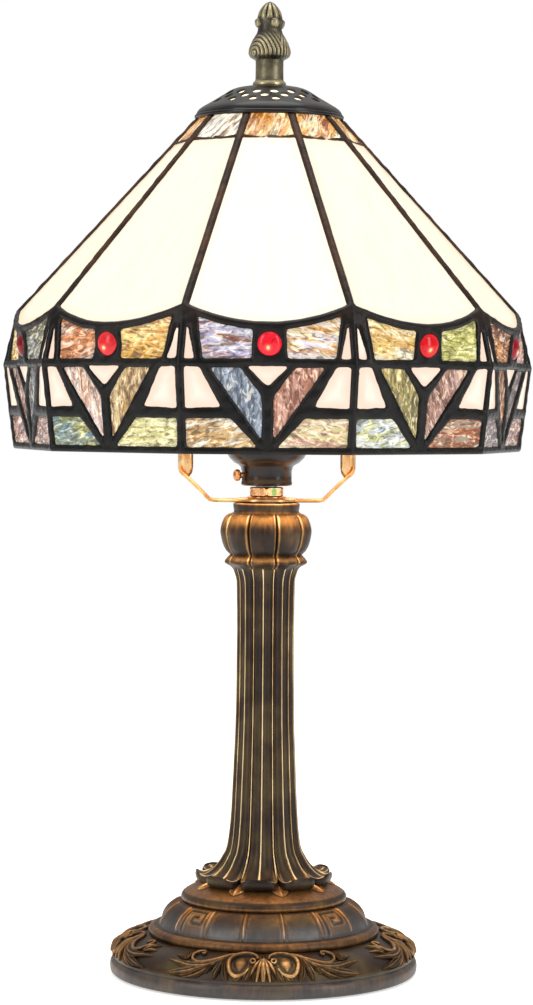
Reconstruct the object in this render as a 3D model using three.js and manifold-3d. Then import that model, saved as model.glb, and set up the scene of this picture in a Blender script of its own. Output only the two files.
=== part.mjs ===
// A ten-sided leaded-glass table lamp on a fluted column, as an assembly of its separate pieces.
// Millimetres, +Z up. The origin is the centre of the felt face that rests on the table.
// The front of the lamp, with one glass facet square to it, faces -Y.
import * as THREE from 'three';
import { mergeVertices } from 'three/addons/utils/BufferGeometryUtils.js';
import Module from 'manifold-3d';

const wasm = await Module();
wasm.setup();

// ---------------------------------------------------------------- driving dimensions
const SIDES = 10;                       // facets of the shade
const FACET_TURN = (2 * Math.PI) / SIDES;
const HALF_TURN = FACET_TURN / 2;
const GLASS = 3;                        // thickness of every sheet of glass
const GAP = 0.3;                        // clearance between touching pieces

// The shade's outline at a corner between two facets: corner radius and height.
const CROWN_TOP = { r: 35, z: 408.8 };
const CROWN_FOOT = { r: 45.5, z: 397.4 };
const SHOULDER = { r: 120, z: 315.8 };
const BELT = { r: 126, z: 290.5 };
const RIM = { r: 121.2, z: 252.6 };
const SCALLOP_DROP = 11.4;              // how far a big panel's curved foot hangs below its corners
const BAND_TOP_DROP = 4.6;              // from the scalloped seam down to the band's upper edge
const SEAM_R = { rib: 1.9, band: 2.2, rim: 2.3 };       // round beads of solder between the sheets
const BEAD_SIDES = 6;
const SCALLOP_STEPS = 6;
const JEWEL = { r: 4.6, z: 297.8, crown: 3, back: 3.4 };

const CAP = { rim: 36, rimZ: 410.6, crownZ: 423.9, wall: 1.3, bore: 3.6 };
const CAP_HOLE_ROWS = [22, 25.6, 29.2];  // distance from the axis of each ring of vent holes
const CAP_HOLE = { r: 1.6, count: 16 };

const FINIAL = { z: 425.4, height: 40.6, bore: 3.6, boreDepth: 13 };

const HARP = { wire: 2.25, legX: 38.6, foot: 247, seatZ: 422.7, seatR: 8, studR: 3.1, studTop: 436 };
// Half of the harp's wire, from its straight leg up towards the seat: distance from the axis and height.
const HARP_BEND = [[38.6, 290], [41.6, 330], [37, 366], [29, 394], [16, 412]];
const HARP_CREST = 418.4;
const SADDLE = { z: 225.5, strap: 1.6, width: 12, hubR: 15, bendX: 27.9, cupZ: 240, cupTop: 263 };
const CUP = { outer: 4.1, inner: 2.9, mouth: 80 };
const FERRULE = { inner: 4.5, outer: 5.3, z: 254, length: 18 };

const PIPE = { r: 5, bore: 3.4, z: 2.6, top: 241 };
const PIPE_HOLE = PIPE.r + 0.4;
const NUT = { flats: 15.9, height: 4.9 };
const SOCKET = {
  neckR: 12.2, neckZ: 233.4, neckTop: 242.6, bellR: 20.4, bellTop: 254, wall: 1.2,
  shellR: 18.6, shellTop: 291,
};
const SCREW = { r: 1.4, headR: 2.7, headLength: 2.9, z: 238.4, tip: 9.4, headAt: 13.7, turn: 20 };
const BULB = { capR: 13, capZ: 262, capTop: 288, glassR: 30, glassZ: 330, top: 362, wall: 1 };

const COLUMN = { foot: 43.4, lobes: 9, lobeTurn: -5, neckR: 16, neckZ: 220.3, top: 225.2 };
const BASE = { r: 73.4, z: 0.7, top: 43, feltR: 68, felt: 2, recessR: 17, recess: 9 };
const GLAND = { r: 5.2, bore: 3.4, z: 9.6, flangeR: 6.6, flange: 1.6, face: 71, tail: 52 };

const FULL = Math.PI * 2;
const UP = new THREE.Vector3(0, 0, 1);
const radians = THREE.MathUtils.degToRad;

// ---------------------------------------------------------------- finishes
const finish = (color, roughness, metalness = 0) => ({ color, roughness, metalness });
const FINISH = {
  bronze: finish(0x5a3d26, 0.45, 0.6),
  patina: finish(0x17130f, 0.35, 0.6),
  finial: finish(0x6b6148, 0.45, 0.7),
  brass: finish(0xc99a52, 0.25, 0.9),
  copper: finish(0xb5713a, 0.25, 0.9),
  socket: finish(0x241c16, 0.2, 0.8),
  steel: finish(0xb8b8b4, 0.3, 0.9),
  phenolic: finish(0x141210, 0.4),
  opal: finish(0xfff6e6, 0.3),
  amber: finish(0xc9a062, 0.3),
  ripple: finish(0xb8a86a, 0.3),
  ruby: finish(0xc81020, 0.15),
  bulb: finish(0xfff2dc, 0.4),
  felt: finish(0x1c2a20, 0.95),
  rubber: finish(0x1a1512, 0.7),
};

const lamp = new THREE.Group();

function place(name, geometry, look, parent = lamp) {
  const mesh = new THREE.Mesh(geometry, new THREE.MeshStandardMaterial(FINISH[look]));
  mesh.name = name;
  parent.add(mesh);
  return mesh;
}

// ---------------------------------------------------------------- shape helpers
// A closed geometry as a solid that can be joined and cut.
function solid(geometry) {
  const bare = geometry.index ? geometry.toNonIndexed() : geometry.clone();
  bare.deleteAttribute('normal');
  bare.deleteAttribute('uv');
  const merged = mergeVertices(bare, 1e-4);
  const corners = merged.index.array;
  const faces = [];
  for (let i = 0; i < corners.length; i += 3) {
    const face = [corners[i], corners[i + 1], corners[i + 2]];
    if (new Set(face).size === 3) faces.push(...face);
  }
  return new wasm.Manifold(new wasm.Mesh({
    numProp: 3,
    vertProperties: new Float32Array(merged.attributes.position.array),
    triVerts: new Uint32Array(faces),
  }));
}

function geometryOf(body) {
  const { vertProperties, triVerts } = body.getMesh();
  return new THREE.BufferGeometry()
    .setAttribute('position', new THREE.BufferAttribute(vertProperties, 3))
    .setIndex(new THREE.BufferAttribute(triVerts, 1))
    .toNonIndexed();
}

// A profile of [radius, height] pairs, turned about the Z axis.
function turned(profile, segments = 24) {
  const points = profile.map(([r, z]) => new THREE.Vector2(r, z));
  return new THREE.LatheGeometry(points, segments).rotateX(Math.PI / 2);
}

// A ring or tube: the profile closes on itself, away from the axis.
function turnedRing(profile, segments = 24) {
  return turned([...profile, profile[0]], segments);
}

const tube = (outer, inner, z0, z1, segments = 24) =>
  turnedRing([[inner, z0], [outer, z0], [outer, z1], [inner, z1]], segments);

const rod = (r, z0, z1, segments = 16) => turned([[0, z0], [r, z0], [r, z1], [0, z1]], segments);

// Triangles that close a round end from its middle, as triples of points.
function fan(ring) {
  const middle = ring.reduce((sum, p) => sum.add(p), new THREE.Vector3()).divideScalar(ring.length);
  return ring.map((p, i) => [p, ring[(i + 1) % ring.length], middle]);
}

// Triangles that close the end of a sheet, whose ring runs along one face and back along the other.
function ladder(ring) {
  const last = ring.length - 1;
  return Array.from({ length: ring.length / 2 - 1 }, (_, i) => [
    [ring[i], ring[i + 1], ring[last - i - 1]],
    [ring[i], ring[last - i - 1], ring[last - i]],
  ]).flat();
}

// A closed skin over rings of points that each go once round, from the lowest ring to the highest.
function skinned(rings, end = fan) {
  const count = rings[0].length;
  const faces = [];
  for (let k = 0; k + 1 < rings.length; k++) {
    const [low, high] = [rings[k], rings[k + 1]];
    for (let i = 0; i < count; i++) {
      const j = (i + 1) % count;
      faces.push([low[i], low[j], high[j]], [low[i], high[j], high[i]]);
    }
  }
  faces.push(...end(rings.at(-1)), ...end(rings[0]).map((face) => face.reverse()));
  const position = faces.flat().flatMap((p) => [p.x, p.y, p.z]);
  return new THREE.BufferGeometry().setAttribute('position', new THREE.Float32BufferAttribute(position, 3));
}

// ---------------------------------------------------------------- the shade's planes
// Everything for one facet is made with the facet facing -Y.
const apothem = (r) => r * Math.cos(HALF_TURN);
const halfWidth = (r) => r * Math.sin(HALF_TURN);
const roofSlope = new THREE.Vector2(apothem(SHOULDER.r - CROWN_TOP.r), CROWN_TOP.z - SHOULDER.z);
const ROOF_TILT = Math.atan2(roofSlope.y, roofSlope.x);
// The corner radius and the height of a point of the outline, moved into the glass by some of its thickness.
const inset = ({ r, z }, depth) => ({
  r: r - (depth * Math.sin(ROOF_TILT)) / Math.cos(HALF_TURN),
  z: z - depth * Math.cos(ROOF_TILT),
});
// A point of the outline on the facet's right-hand corner line.
const cornerAt = ({ r, z }) => new THREE.Vector3(halfWidth(r), -apothem(r), z);
// Distance up the roof from the shoulder line to a point of the outline.
const upRoof = ({ z }) => (z - SHOULDER.z) / Math.sin(ROOF_TILT);

// The curved foot of a big panel: how far down the roof it is from the shoulder line, at x from the middle.
const scallop = (x) => SCALLOP_DROP * (1 - (x / halfWidth(SHOULDER.r)) ** 2);
function scallopPoint(x, depth = 0) {
  const { r, z } = inset(SHOULDER, depth);
  const drop = scallop(x);
  return new THREE.Vector3(x, -apothem(r) - drop * Math.cos(ROOF_TILT), z - drop * Math.sin(ROOF_TILT));
}

// Each facet has a group of its own, turned into its place.
const shade = new THREE.Group();
lamp.add(shade);
const facets = Array.from({ length: SIDES }, (_, i) => {
  const facet = new THREE.Group();
  facet.rotation.z = i * FACET_TURN;
  shade.add(facet);
  return facet;
});
const numbered = (name, i) => `${name}_${String(i + 1).padStart(2, '0')}`;

// A flat sheet of glass cut to an outline drawn on the roof plane, x across and y up the slope.
function roofSheet(outline) {
  const options = { depth: GLASS, bevelEnabled: false, curveSegments: SCALLOP_STEPS };
  return new THREE.ExtrudeGeometry(outline, options)
    .translate(0, 0, -GLASS)
    .rotateX(ROOF_TILT)
    .translate(0, -apothem(SHOULDER.r), SHOULDER.z);
}

// A sheet stops short of its seam's bead, and its square-cut sides stand back for the mitre.
const SHORT = SEAM_R.rib + GAP;
const SIDE_SHORT = SHORT + (GLASS / 2) * Math.tan(HALF_TURN) * Math.sin(ROOF_TILT);
const sideAt = (up) => THREE.MathUtils.lerp(
  halfWidth(SHOULDER.r),
  halfWidth(CROWN_TOP.r),
  up / upRoof(CROWN_TOP),
) - SIDE_SHORT;

function opalPanel() {
  const low = SEAM_R.band + 3 * GAP;
  const top = upRoof(CROWN_FOOT) - SHORT;
  const [foot, head] = [sideAt(low), sideAt(top)];
  const outline = new THREE.Shape();
  outline.moveTo(-foot, low);
  outline.quadraticCurveTo(0, low - 2 * SCALLOP_DROP, foot, low);
  outline.lineTo(head, top);
  outline.lineTo(-head, top);
  return roofSheet(outline);
}

function crownPane() {
  const low = upRoof(CROWN_FOOT) + SHORT;
  const high = upRoof(CROWN_TOP) - SHORT;
  const [foot, head] = [sideAt(low), sideAt(high)];
  return roofSheet(new THREE.Shape([[foot, low], [head, high], [-head, high], [-foot, low]]
    .map(([x, y]) => new THREE.Vector2(x, y))));
}

// The jewelled band of one facet: upright below the belt line, and above it a skin up to the scalloped seam.
// share runs from -1 to 1 across the facet, and depth from 0 at its outside to GLASS at its inside.
function bandPoint(share, level, depth) {
  const point = {
    rim: ({ r, z } = RIM) => new THREE.Vector3(share * halfWidth(r), -apothem(r), z + SEAM_R.rim + GAP),
    belt: ({ r, z } = BELT) => new THREE.Vector3(share * halfWidth(r), -apothem(r), z),
    top: () => {
      const seam = scallopPoint(share * halfWidth(SHOULDER.r));
      return seam.lerp(point.belt(), BAND_TOP_DROP / (seam.z - BELT.z));
    },
  };
  return point[level]().add(new THREE.Vector3(0, depth, 0));
}

// A ring of points across the outside from left to right and back across the inside.
function bandRing(level) {
  const across = (depth) => Array.from({ length: SCALLOP_STEPS + 1 }, (_, i) => {
    const share = -1 + (2 * i) / SCALLOP_STEPS;
    const point = bandPoint(share, level, depth);
    const short = depth * Math.tan(HALF_TURN) + (SEAM_R.band + GAP) / Math.cos(HALF_TURN);
    return point.setX(point.x - share * short);
  });
  return [...across(0), ...across(GLASS).reverse()];
}

const jewelSeat = bandPoint(0, 'top', 0).lerp(bandPoint(0, 'belt', 0), 0.5).setZ(JEWEL.z);
function jewelBand() {
  const plate = solid(skinned(['rim', 'belt', 'top'].map(bandRing), ladder));
  const hole = new THREE.CylinderGeometry(JEWEL.r + 0.4, JEWEL.r + 0.4, 6 * GLASS, 10);
  return geometryOf(plate.subtract(solid(hole.translate(...jewelSeat))));
}

function jewel() {
  const { r, crown, back } = JEWEL;
  const cabochon = [
    [0, -back], [r * 0.95, -back], [r, 0.6 - back], [r, 0],
    [r * 0.8, crown * 0.65], [r * 0.4, crown], [0, crown],
  ];
  return turned(cabochon, 10)
    .rotateX(Math.PI / 2)
    .translate(...jewelSeat);
}

// ---------------------------------------------------------------- glass, facet by facet
const panelShape = opalPanel();
const paneShape = crownPane();
const bandShape = jewelBand();
const jewelShape = jewel();
facets.forEach((facet, i) => {
  place(numbered('opal_panel', i), panelShape, 'opal', facet);
  place(numbered('crown_pane', i), paneShape, 'amber', facet);
  place(numbered('jewel_band', i), bandShape, 'ripple', facet);
  place(numbered('jewel', i), jewelShape, 'ruby', facet);
});

// ---------------------------------------------------------------- the soldered frame between the sheets
// A round bead along a line of points, with its sections square to the line; a loop closes on itself.
function bead(points, radius, loop) {
  const count = points.length;
  const ring = points.map((point, i) => {
    const before = points[loop ? (i + count - 1) % count : Math.max(i - 1, 0)];
    const after = points[loop ? (i + 1) % count : Math.min(i + 1, count - 1)];
    const along = after.clone().sub(before).normalize();
    const outward = new THREE.Vector3(point.x, point.y, 0).normalize();
    const across = new THREE.Vector3().crossVectors(along, outward).normalize();
    const out = new THREE.Vector3().crossVectors(across, along);
    return Array.from({ length: BEAD_SIDES }, (_, k) => {
      const turn = ((k + 0.5) * FULL) / BEAD_SIDES;
      return point.clone()
        .addScaledVector(out, radius * Math.cos(turn))
        .addScaledVector(across, radius * Math.sin(turn));
    });
  });
  return loop ? skinned([...ring, ring[0]], () => []) : skinned(ring);
}

// Points that go round all the facets, made from the points across one.
const roundAll = (points) => facets.flatMap((facet) => points.map((point) =>
  point.clone().applyAxisAngle(UP, facet.rotation.z)));

function around(body, count = SIDES) {
  let whole = body;
  for (let i = 1; i < count; i++) whole = whole.add(body.rotate([0, 0, (360 * i) / count]));
  return whole;
}

function seams() {
  const middle = GLASS / 2;
  const roof = (point) => cornerAt(inset(point, middle));
  const upright = ({ r, z }) => cornerAt({ r: r - middle / Math.cos(HALF_TURN), z });
  const foot = Array.from({ length: SCALLOP_STEPS }, (_, i) =>
    scallopPoint((-1 + (2 * (i + 1)) / SCALLOP_STEPS) * halfWidth(inset(SHOULDER, middle).r), middle));
  const loops = [
    bead(roundAll([roof(CROWN_TOP)]), SEAM_R.rib, true),
    bead(roundAll([roof(CROWN_FOOT)]), SEAM_R.rib, true),
    bead(roundAll(foot), SEAM_R.band, true),
    bead(roundAll([upright(RIM)]), SEAM_R.rim, true),
  ].map(solid);
  const corner = bead([roof(CROWN_TOP), roof(SHOULDER), upright(BELT), upright(RIM)], SEAM_R.rib, false);
  return loops.reduce((whole, loop) => whole.add(loop), around(solid(corner)));
}
place('came_frame', geometryOf(seams()), 'patina', shade);

// ---------------------------------------------------------------- pierced cap and finial
function ventCap() {
  const { rim, rimZ, crownZ, wall, bore } = CAP;
  const dome = [[0.98, 0.16], [0.86, 0.4], [0.7, 0.62], [0.5, 0.82], [0.3, 0.94]]
    .map(([r, z]) => [r * rim, rimZ + z * (crownZ - rimZ)]);
  const outside = [
    [rim - 0.6, rimZ - 0.4], [rim, rimZ + 0.8], ...dome, [8.6, crownZ + 0.4], [bore, crownZ + 0.4],
  ];
  const inside = [...dome].reverse().map(([r, z]) => [r - wall * 0.4, z - wall]);
  const seat = [[bore, crownZ + 0.4 - wall], [HARP.seatR + 0.8, crownZ + 0.4 - wall]];
  const shell = solid(turnedRing([...outside, ...seat, ...inside, [rim - 2.2, rimZ - 0.4]], 24));
  const hole = (r, turn) => solid(new THREE.CylinderGeometry(CAP_HOLE.r, CAP_HOLE.r, 30, 5)
    .rotateX(Math.PI / 2)
    .translate(r, 0, crownZ)
    .rotateZ(turn));
  const holes = CAP_HOLE_ROWS.flatMap((r, row) =>
    Array.from({ length: CAP_HOLE.count }, (_, i) => hole(r, ((i + row / 2) * FULL) / CAP_HOLE.count)));
  return geometryOf(holes.reduce((left, one) => left.subtract(one), shell));
}
place('vent_cap', ventCap(), 'patina', shade);

function finial() {
  const { z, height, bore, boreDepth } = FINIAL;
  const outline = [
    [8.0, 0], [8.1, 1], [6.9, 4.6], [6.7, 6.2], [6.7, 14.6], [8.6, 16], [9.8, 19], [9.6, 22], [8.2, 25.6],
    [6.3, 29], [6.1, 31.2], [7.0, 33], [6.2, 35], [4.6, 38], [2.2, 40],
  ];
  return turned([
    [0, boreDepth], [bore, boreDepth], [bore, 0], ...outline, [0, height],
  ].map(([r, up]) => [r, z + up]), 14);
}
place('finial', finial(), 'finial');

// ---------------------------------------------------------------- harp, its saddle and the two ferrules
function harp() {
  const { wire, legX, foot, seatZ, seatR, studR, studTop } = HARP;
  const side = (s) => [[legX, foot], ...HARP_BEND].map(([x, z]) => new THREE.Vector3(s * x, 0, z));
  const crest = new THREE.Vector3(0, 0, HARP_CREST);
  const route = new THREE.CatmullRomCurve3([...side(-1), crest, ...side(1).reverse()]);
  const section = new THREE.Shape().absarc(0, 0, wire, 0, FULL);
  const loop = solid(new THREE.ExtrudeGeometry(section, { steps: 28, curveSegments: 3, extrudePath: route }));
  const seatFoot = HARP_CREST - 3.4;
  const seat = solid(turned([
    [0, seatFoot], [4.4, seatFoot], [5, seatZ - 2.4], [seatR, seatZ - 1.8], [seatR, seatZ],
    [studR, seatZ], [studR, studTop], [0, studTop],
  ], 16));
  return geometryOf(loop.add(seat));
}
place('harp', harp(), 'brass');

// The strap lies on the column, turns up at 45 degrees and rolls round each leg as an open cup.
function saddle() {
  const { z, strap, width, hubR, bendX, cupZ, cupTop } = SADDLE;
  const legX = HARP.legX;
  const run = legX + CUP.outer - strap - bendX;
  const arm = (s) => {
    const outline = new THREE.Shape([
      new THREE.Vector2(0, 0),
      new THREE.Vector2(s * bendX, 0),
      new THREE.Vector2(s * (bendX + run + strap), cupZ - z),
      new THREE.Vector2(s * (bendX + run + strap), cupZ - z + 3),
      new THREE.Vector2(s * (bendX + run), cupZ - z + 3),
      new THREE.Vector2(s * (bendX + run - 0.4), cupZ - z + 0.6),
      new THREE.Vector2(s * (bendX - 0.6), strap),
      new THREE.Vector2(0, strap),
    ]);
    return solid(new THREE.ExtrudeGeometry(outline, { depth: width, bevelEnabled: false })
      .translate(0, 0, -width / 2)
      .rotateX(Math.PI / 2)
      .translate(0, 0, z));
  };
  const cup = (s) => {
    const opening = radians(CUP.mouth / 2);
    const section = new THREE.Shape().absarc(0, 0, CUP.outer, opening, FULL - opening);
    section.absarc(0, 0, CUP.inner, FULL - opening, opening, true);
    const options = { depth: cupTop - cupZ, bevelEnabled: false, curveSegments: 8 };
    return solid(new THREE.ExtrudeGeometry(section, options)
      .rotateZ(s > 0 ? Math.PI : 0)
      .translate(s * legX, 0, cupZ));
  };
  const legRoom = (s) => solid(rod(CUP.inner, cupZ + 4.5, cupTop + 1, 12).translate(s * legX, 0, 0));
  const gusset = (s) => solid(new THREE.CylinderGeometry(CUP.outer, 2.2, 6, 12)
    .rotateX(Math.PI / 2)
    .translate(s * (legX + 0.2), 0, cupZ + 1));
  const trim = (s) => solid(new THREE.BoxGeometry(20, 4, 20)
    .translate(s * (legX + 3), width / 2 + 0.6, cupZ - 2));
  const hub = solid(rod(hubR, z, z + strap, 20));
  const pipeHole = solid(rod(PIPE_HOLE, z - 1, z + strap + 1));
  const added = [arm(1), arm(-1), cup(1), cup(-1), gusset(1), gusset(-1)];
  const cut = [legRoom(1), legRoom(-1), trim(1), trim(-1), pipeHole];
  const whole = added.reduce((sum, part) => sum.add(part), hub);
  return geometryOf(cut.reduce((left, part) => left.subtract(part), whole));
}
place('harp_saddle', saddle(), 'brass');

for (const [name, side] of [['left', -1], ['right', 1]]) {
  const sleeve = tube(FERRULE.outer, FERRULE.inner, FERRULE.z, FERRULE.z + FERRULE.length, 16);
  place(`harp_ferrule_${name}`, sleeve.translate(side * HARP.legX, 0, 0), 'brass');
}

// ---------------------------------------------------------------- threaded pipe, nuts, socket and bulb
place('threaded_pipe', tube(PIPE.r, PIPE.bore, PIPE.z, PIPE.top, 16), 'steel');

function hexNut(z, height = NUT.height) {
  const corner = NUT.flats / 2 / Math.cos(Math.PI / 6);
  const block = solid(new THREE.CylinderGeometry(corner, corner, height, 6)
    .rotateX(Math.PI / 2)
    .translate(0, 0, z + height / 2));
  const crown = solid(turned([[0, -1], [corner - 1.4, -1], [corner + 0.2, 0.9], [corner + 0.2, height - 0.9],
    [corner - 1.4, height + 1], [0, height + 1]].map(([r, up]) => [r, z + up]), 24));
  return geometryOf(block.intersect(crown).subtract(solid(rod(PIPE_HOLE, z - 2, z + height + 2))));
}
place('lock_nut', hexNut(SADDLE.z + SADDLE.strap + GAP), 'copper');

function socketCap() {
  const { neckR, neckZ, neckTop, bellR, bellTop, wall } = SOCKET;
  const bell = [[0.62, 0.04], [0.74, 0.2], [0.87, 0.45], [0.96, 0.72], [1, 1]]
    .map(([r, up]) => [r * bellR, neckTop + up * (bellTop - neckTop)]);
  const inside = [...bell].reverse().map(([r, z]) => [r - wall, z + (z === bellTop ? 0 : 0.5)]);
  const shell = solid(turnedRing([
    [PIPE_HOLE, neckZ], [neckR, neckZ], [neckR + 0.3, neckTop - 0.6], ...bell, ...inside,
    [neckR - wall, neckTop - 0.4], [neckR - wall, neckZ + wall], [PIPE_HOLE, neckZ + wall],
  ], 20));
  return geometryOf(shell.subtract(screwRoom()));
}

// The clamp screw enters the neck level, from the left and a little towards the front.
const screwPose = (geometry) => geometry.rotateY(-Math.PI / 2)
  .rotateZ(radians(SCREW.turn))
  .translate(0, 0, SCREW.z);
const screwRoom = () => solid(screwPose(rod(SCREW.r + 0.3, SCREW.tip - 1, SCREW.headAt, 12)));
function clampScrew() {
  const { r, headR, headLength, tip, headAt } = SCREW;
  return screwPose(turned([
    [0, tip], [r, tip], [r, headAt], [headR * 0.7, headAt], [headR, headAt + headLength * 0.4],
    [headR * 0.86, headAt + headLength * 0.8], [headR * 0.4, headAt + headLength], [0, headAt + headLength],
  ], 12));
}
place('socket_cap', socketCap(), 'socket');
place('clamp_screw', clampScrew(), 'copper');

const shellFoot = SOCKET.neckTop + 3.6;
const shellFloor = BULB.capZ - 1.4;
const socketBore = BULB.capR + 0.6;
place('socket_shell', turnedRing([
  [PIPE_HOLE, shellFoot], [14.4, shellFoot], [SOCKET.shellR - 0.4, SOCKET.bellTop - 2.6],
  [SOCKET.shellR - 0.4, SOCKET.bellTop], [SOCKET.shellR, SOCKET.bellTop + 1],
  [SOCKET.shellR, SOCKET.shellTop - 1], [SOCKET.shellR - 1, SOCKET.shellTop],
  [socketBore, SOCKET.shellTop], [socketBore, shellFloor], [PIPE_HOLE, shellFloor],
], 18), 'phenolic');

place('bulb_screw_cap', turned([
  [0, BULB.capZ], [4.6, BULB.capZ], [5, BULB.capZ + 2], [11.6, BULB.capZ + 4], [BULB.capR, BULB.capZ + 6],
  [BULB.capR, BULB.capTop - GAP], [0, BULB.capTop - GAP],
], 16), 'steel');

function bulbGlass() {
  const { capTop, glassR, glassZ, top, wall } = BULB;
  const outline = [
    [13, capTop], [13.2, capTop + 3.4], [14.4, capTop + 8], [17.6, capTop + 16], [23.6, capTop + 27],
    [28, glassZ - 4], [glassR, glassZ + 4], [glassR - 1.6, glassZ + 12], [24.6, glassZ + 21],
    [17, glassZ + 28], [8.4, top - 0.7],
  ];
  const inner = outline.slice(0, -1).map(([r, z]) => [r - wall, z > glassZ ? z - wall * 0.6 : z]);
  return turned([[0, top - wall], [7.6, top - 1.8], ...inner.reverse(), ...outline, [0, top]], 16);
}
place('bulb_glass', bulbGlass(), 'bulb');

// ---------------------------------------------------------------- column and base castings
// Nine lobes run the whole height: bulges on the capital, flutes on the shaft, curled petals at the foot.
function lobedRing(radius, z, depth, points = 36) {
  const phase = radians(COLUMN.lobeTurn - 90);
  return Array.from({ length: points }, (_, i) => {
    const angle = phase + (i * FULL) / points;
    const swell = Math.abs(Math.cos(((angle - phase) * COLUMN.lobes) / 2));
    const r = radius - depth * (1 - swell);
    return new THREE.Vector3(r * Math.cos(angle), r * Math.sin(angle), z);
  });
}

function column() {
  const { foot, top, neckZ, neckR } = COLUMN;
  const sections = [
    [26, foot, 1.5], [30.5, foot + 0.8, 4], [32.2, 46.6, 5], [29.5, 48.4, 4.5], [24.5, 49.8, 4],
    [21, 53.4, 3.2], [18.4, 58.5, 2.6], [16.6, 67, 2.2], [15.2, 86, 2], [13.7, 124, 1.8], [13.4, 186, 1.8],
    [14.6, 190.5, 1.8], [18.6, 195.2, 2], [19.6, 196.4, 2.4], [17.2, 200.4, 1.6], [20.6, 204.6, 2],
    [22, 211.3, 2.2], [21, 216.6, 2], [18.4, 219.4, 1.2], [neckR, neckZ + 0.4, 0], [neckR + 0.1, top, 0],
  ];
  const casting = solid(skinned(sections.map(([r, z, depth]) => lobedRing(r, z, depth))));
  return geometryOf(casting.subtract(solid(rod(PIPE_HOLE, foot - 1, top + 1))));
}
place('column', column(), 'bronze');

// Something turned about Z, laid down to point out of the rear of the base at the height of the cord's way.
const acrossToRear = (geometry) => geometry.rotateX(-Math.PI / 2).translate(0, 0, GLAND.z);

function baseCasting() {
  const { r, z, top, feltR, felt, recessR, recess } = BASE;
  const profile = [
    [feltR + 0.4, z], [r - 0.8, z], [r, z + 2.6], [r - 0.7, z + 5.6], [71.4, 7.2], [70, 11.4], [66.4, 15.4],
    [60.6, 18], [54.4, 18.6], [55.2, 20.4], [53.6, 22.8], [50.6, 23.6], [48.4, 28.6], [44.2, 32.4],
    [38.4, 33.6], [39.8, 36.2], [38.6, 38.8], [34, 41.6], [28, top], [0, top],
  ];
  const casting = solid(turned([[0, z + felt], [feltR + 0.4, z + felt], ...profile], 36));
  const nutRecess = solid(rod(recessR, 0, recess + 1, 24));
  const pipeHole = solid(rod(PIPE_HOLE, 0, top + 1));
  const cordWay = solid(acrossToRear(rod(GLAND.r + GAP, 10, r + 2, 14)));
  const glandSeat = solid(acrossToRear(rod(GLAND.flangeR + 0.6, GLAND.face - GAP, r + 2, 14)));
  const cut = [nutRecess, pipeHole, cordWay, glandSeat];
  return geometryOf(cut.reduce((left, part) => left.subtract(part), casting));
}
place('base_casting', baseCasting(), 'bronze');

place('felt_pad', turned([[0, 0], [BASE.feltR, 0], [BASE.feltR, BASE.felt], [0, BASE.felt]], 36), 'felt');
place('foot_washer', tube(12, PIPE_HOLE, BASE.recess + 1 - GAP - 1.4, BASE.recess + 1 - GAP, 20), 'steel');
place('foot_nut', hexNut(BASE.recess - GAP - 1.4 - NUT.height, 4.2), 'steel');

function cordGland() {
  const { r, bore, flangeR, flange, face, tail } = GLAND;
  return acrossToRear(turnedRing([
    [bore, tail], [r, tail], [r, face], [flangeR, face], [flangeR, face + flange], [bore, face + flange],
  ], 14));
}
place('cord_gland', cordGland(), 'rubber');

export default lamp;
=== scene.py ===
import math

import bmesh
import bpy
import numpy as np
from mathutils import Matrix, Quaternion, Vector


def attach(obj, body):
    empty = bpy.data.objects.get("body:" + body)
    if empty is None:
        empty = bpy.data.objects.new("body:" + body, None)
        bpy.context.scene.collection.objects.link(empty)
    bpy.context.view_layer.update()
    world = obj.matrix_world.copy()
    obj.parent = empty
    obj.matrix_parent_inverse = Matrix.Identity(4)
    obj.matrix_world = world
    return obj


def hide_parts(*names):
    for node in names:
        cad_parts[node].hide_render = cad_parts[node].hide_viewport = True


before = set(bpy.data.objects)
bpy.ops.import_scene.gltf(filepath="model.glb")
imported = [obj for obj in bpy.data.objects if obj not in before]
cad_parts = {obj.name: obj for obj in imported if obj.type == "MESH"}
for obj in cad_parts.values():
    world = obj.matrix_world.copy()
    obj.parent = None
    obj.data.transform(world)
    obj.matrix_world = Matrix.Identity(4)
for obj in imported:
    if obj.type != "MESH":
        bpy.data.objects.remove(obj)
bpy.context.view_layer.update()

# %% [markdown]
# ## The camera
# The camera stands 1.4 m in front of the lamp, a little above the middle of its height, and looks
# level. A level camera keeps the column's sides parallel; instead of tilting it down, we shift the
# film so that the whole lamp fits in the tall picture. A long lens from a distance is how a
# product is usually taken, because the near and far sides of the shade keep nearly the same size.
# %% Camera
MM = 0.001
FILM = 36.0
LENS = 104.3
FILM_DROP = 0.102           # how far the film is shifted down, as a share of its height
CAMERA_PLACE = (-0.35, -1400, 274.5)
CAMERA_ROLL = 0.4


def make_camera():
    data = bpy.data.cameras.new("camera")
    data.sensor_fit = "VERTICAL"
    data.sensor_height = FILM
    data.lens = LENS
    data.shift_y = -FILM_DROP
    camera = bpy.data.objects.new("camera", data)
    camera.location = Vector(CAMERA_PLACE) * MM
    camera.rotation_mode = "QUATERNION"
    level = Vector((0, 1, 0)).to_track_quat("-Z", "Y")
    camera.rotation_quaternion = level @ Quaternion((0, 0, 1), math.radians(CAMERA_ROLL))
    bpy.context.collection.objects.link(camera)
    bpy.context.scene.camera = camera
    return camera


camera = make_camera()
print("lens", round(camera.data.lens, 1), "mm")

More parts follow.
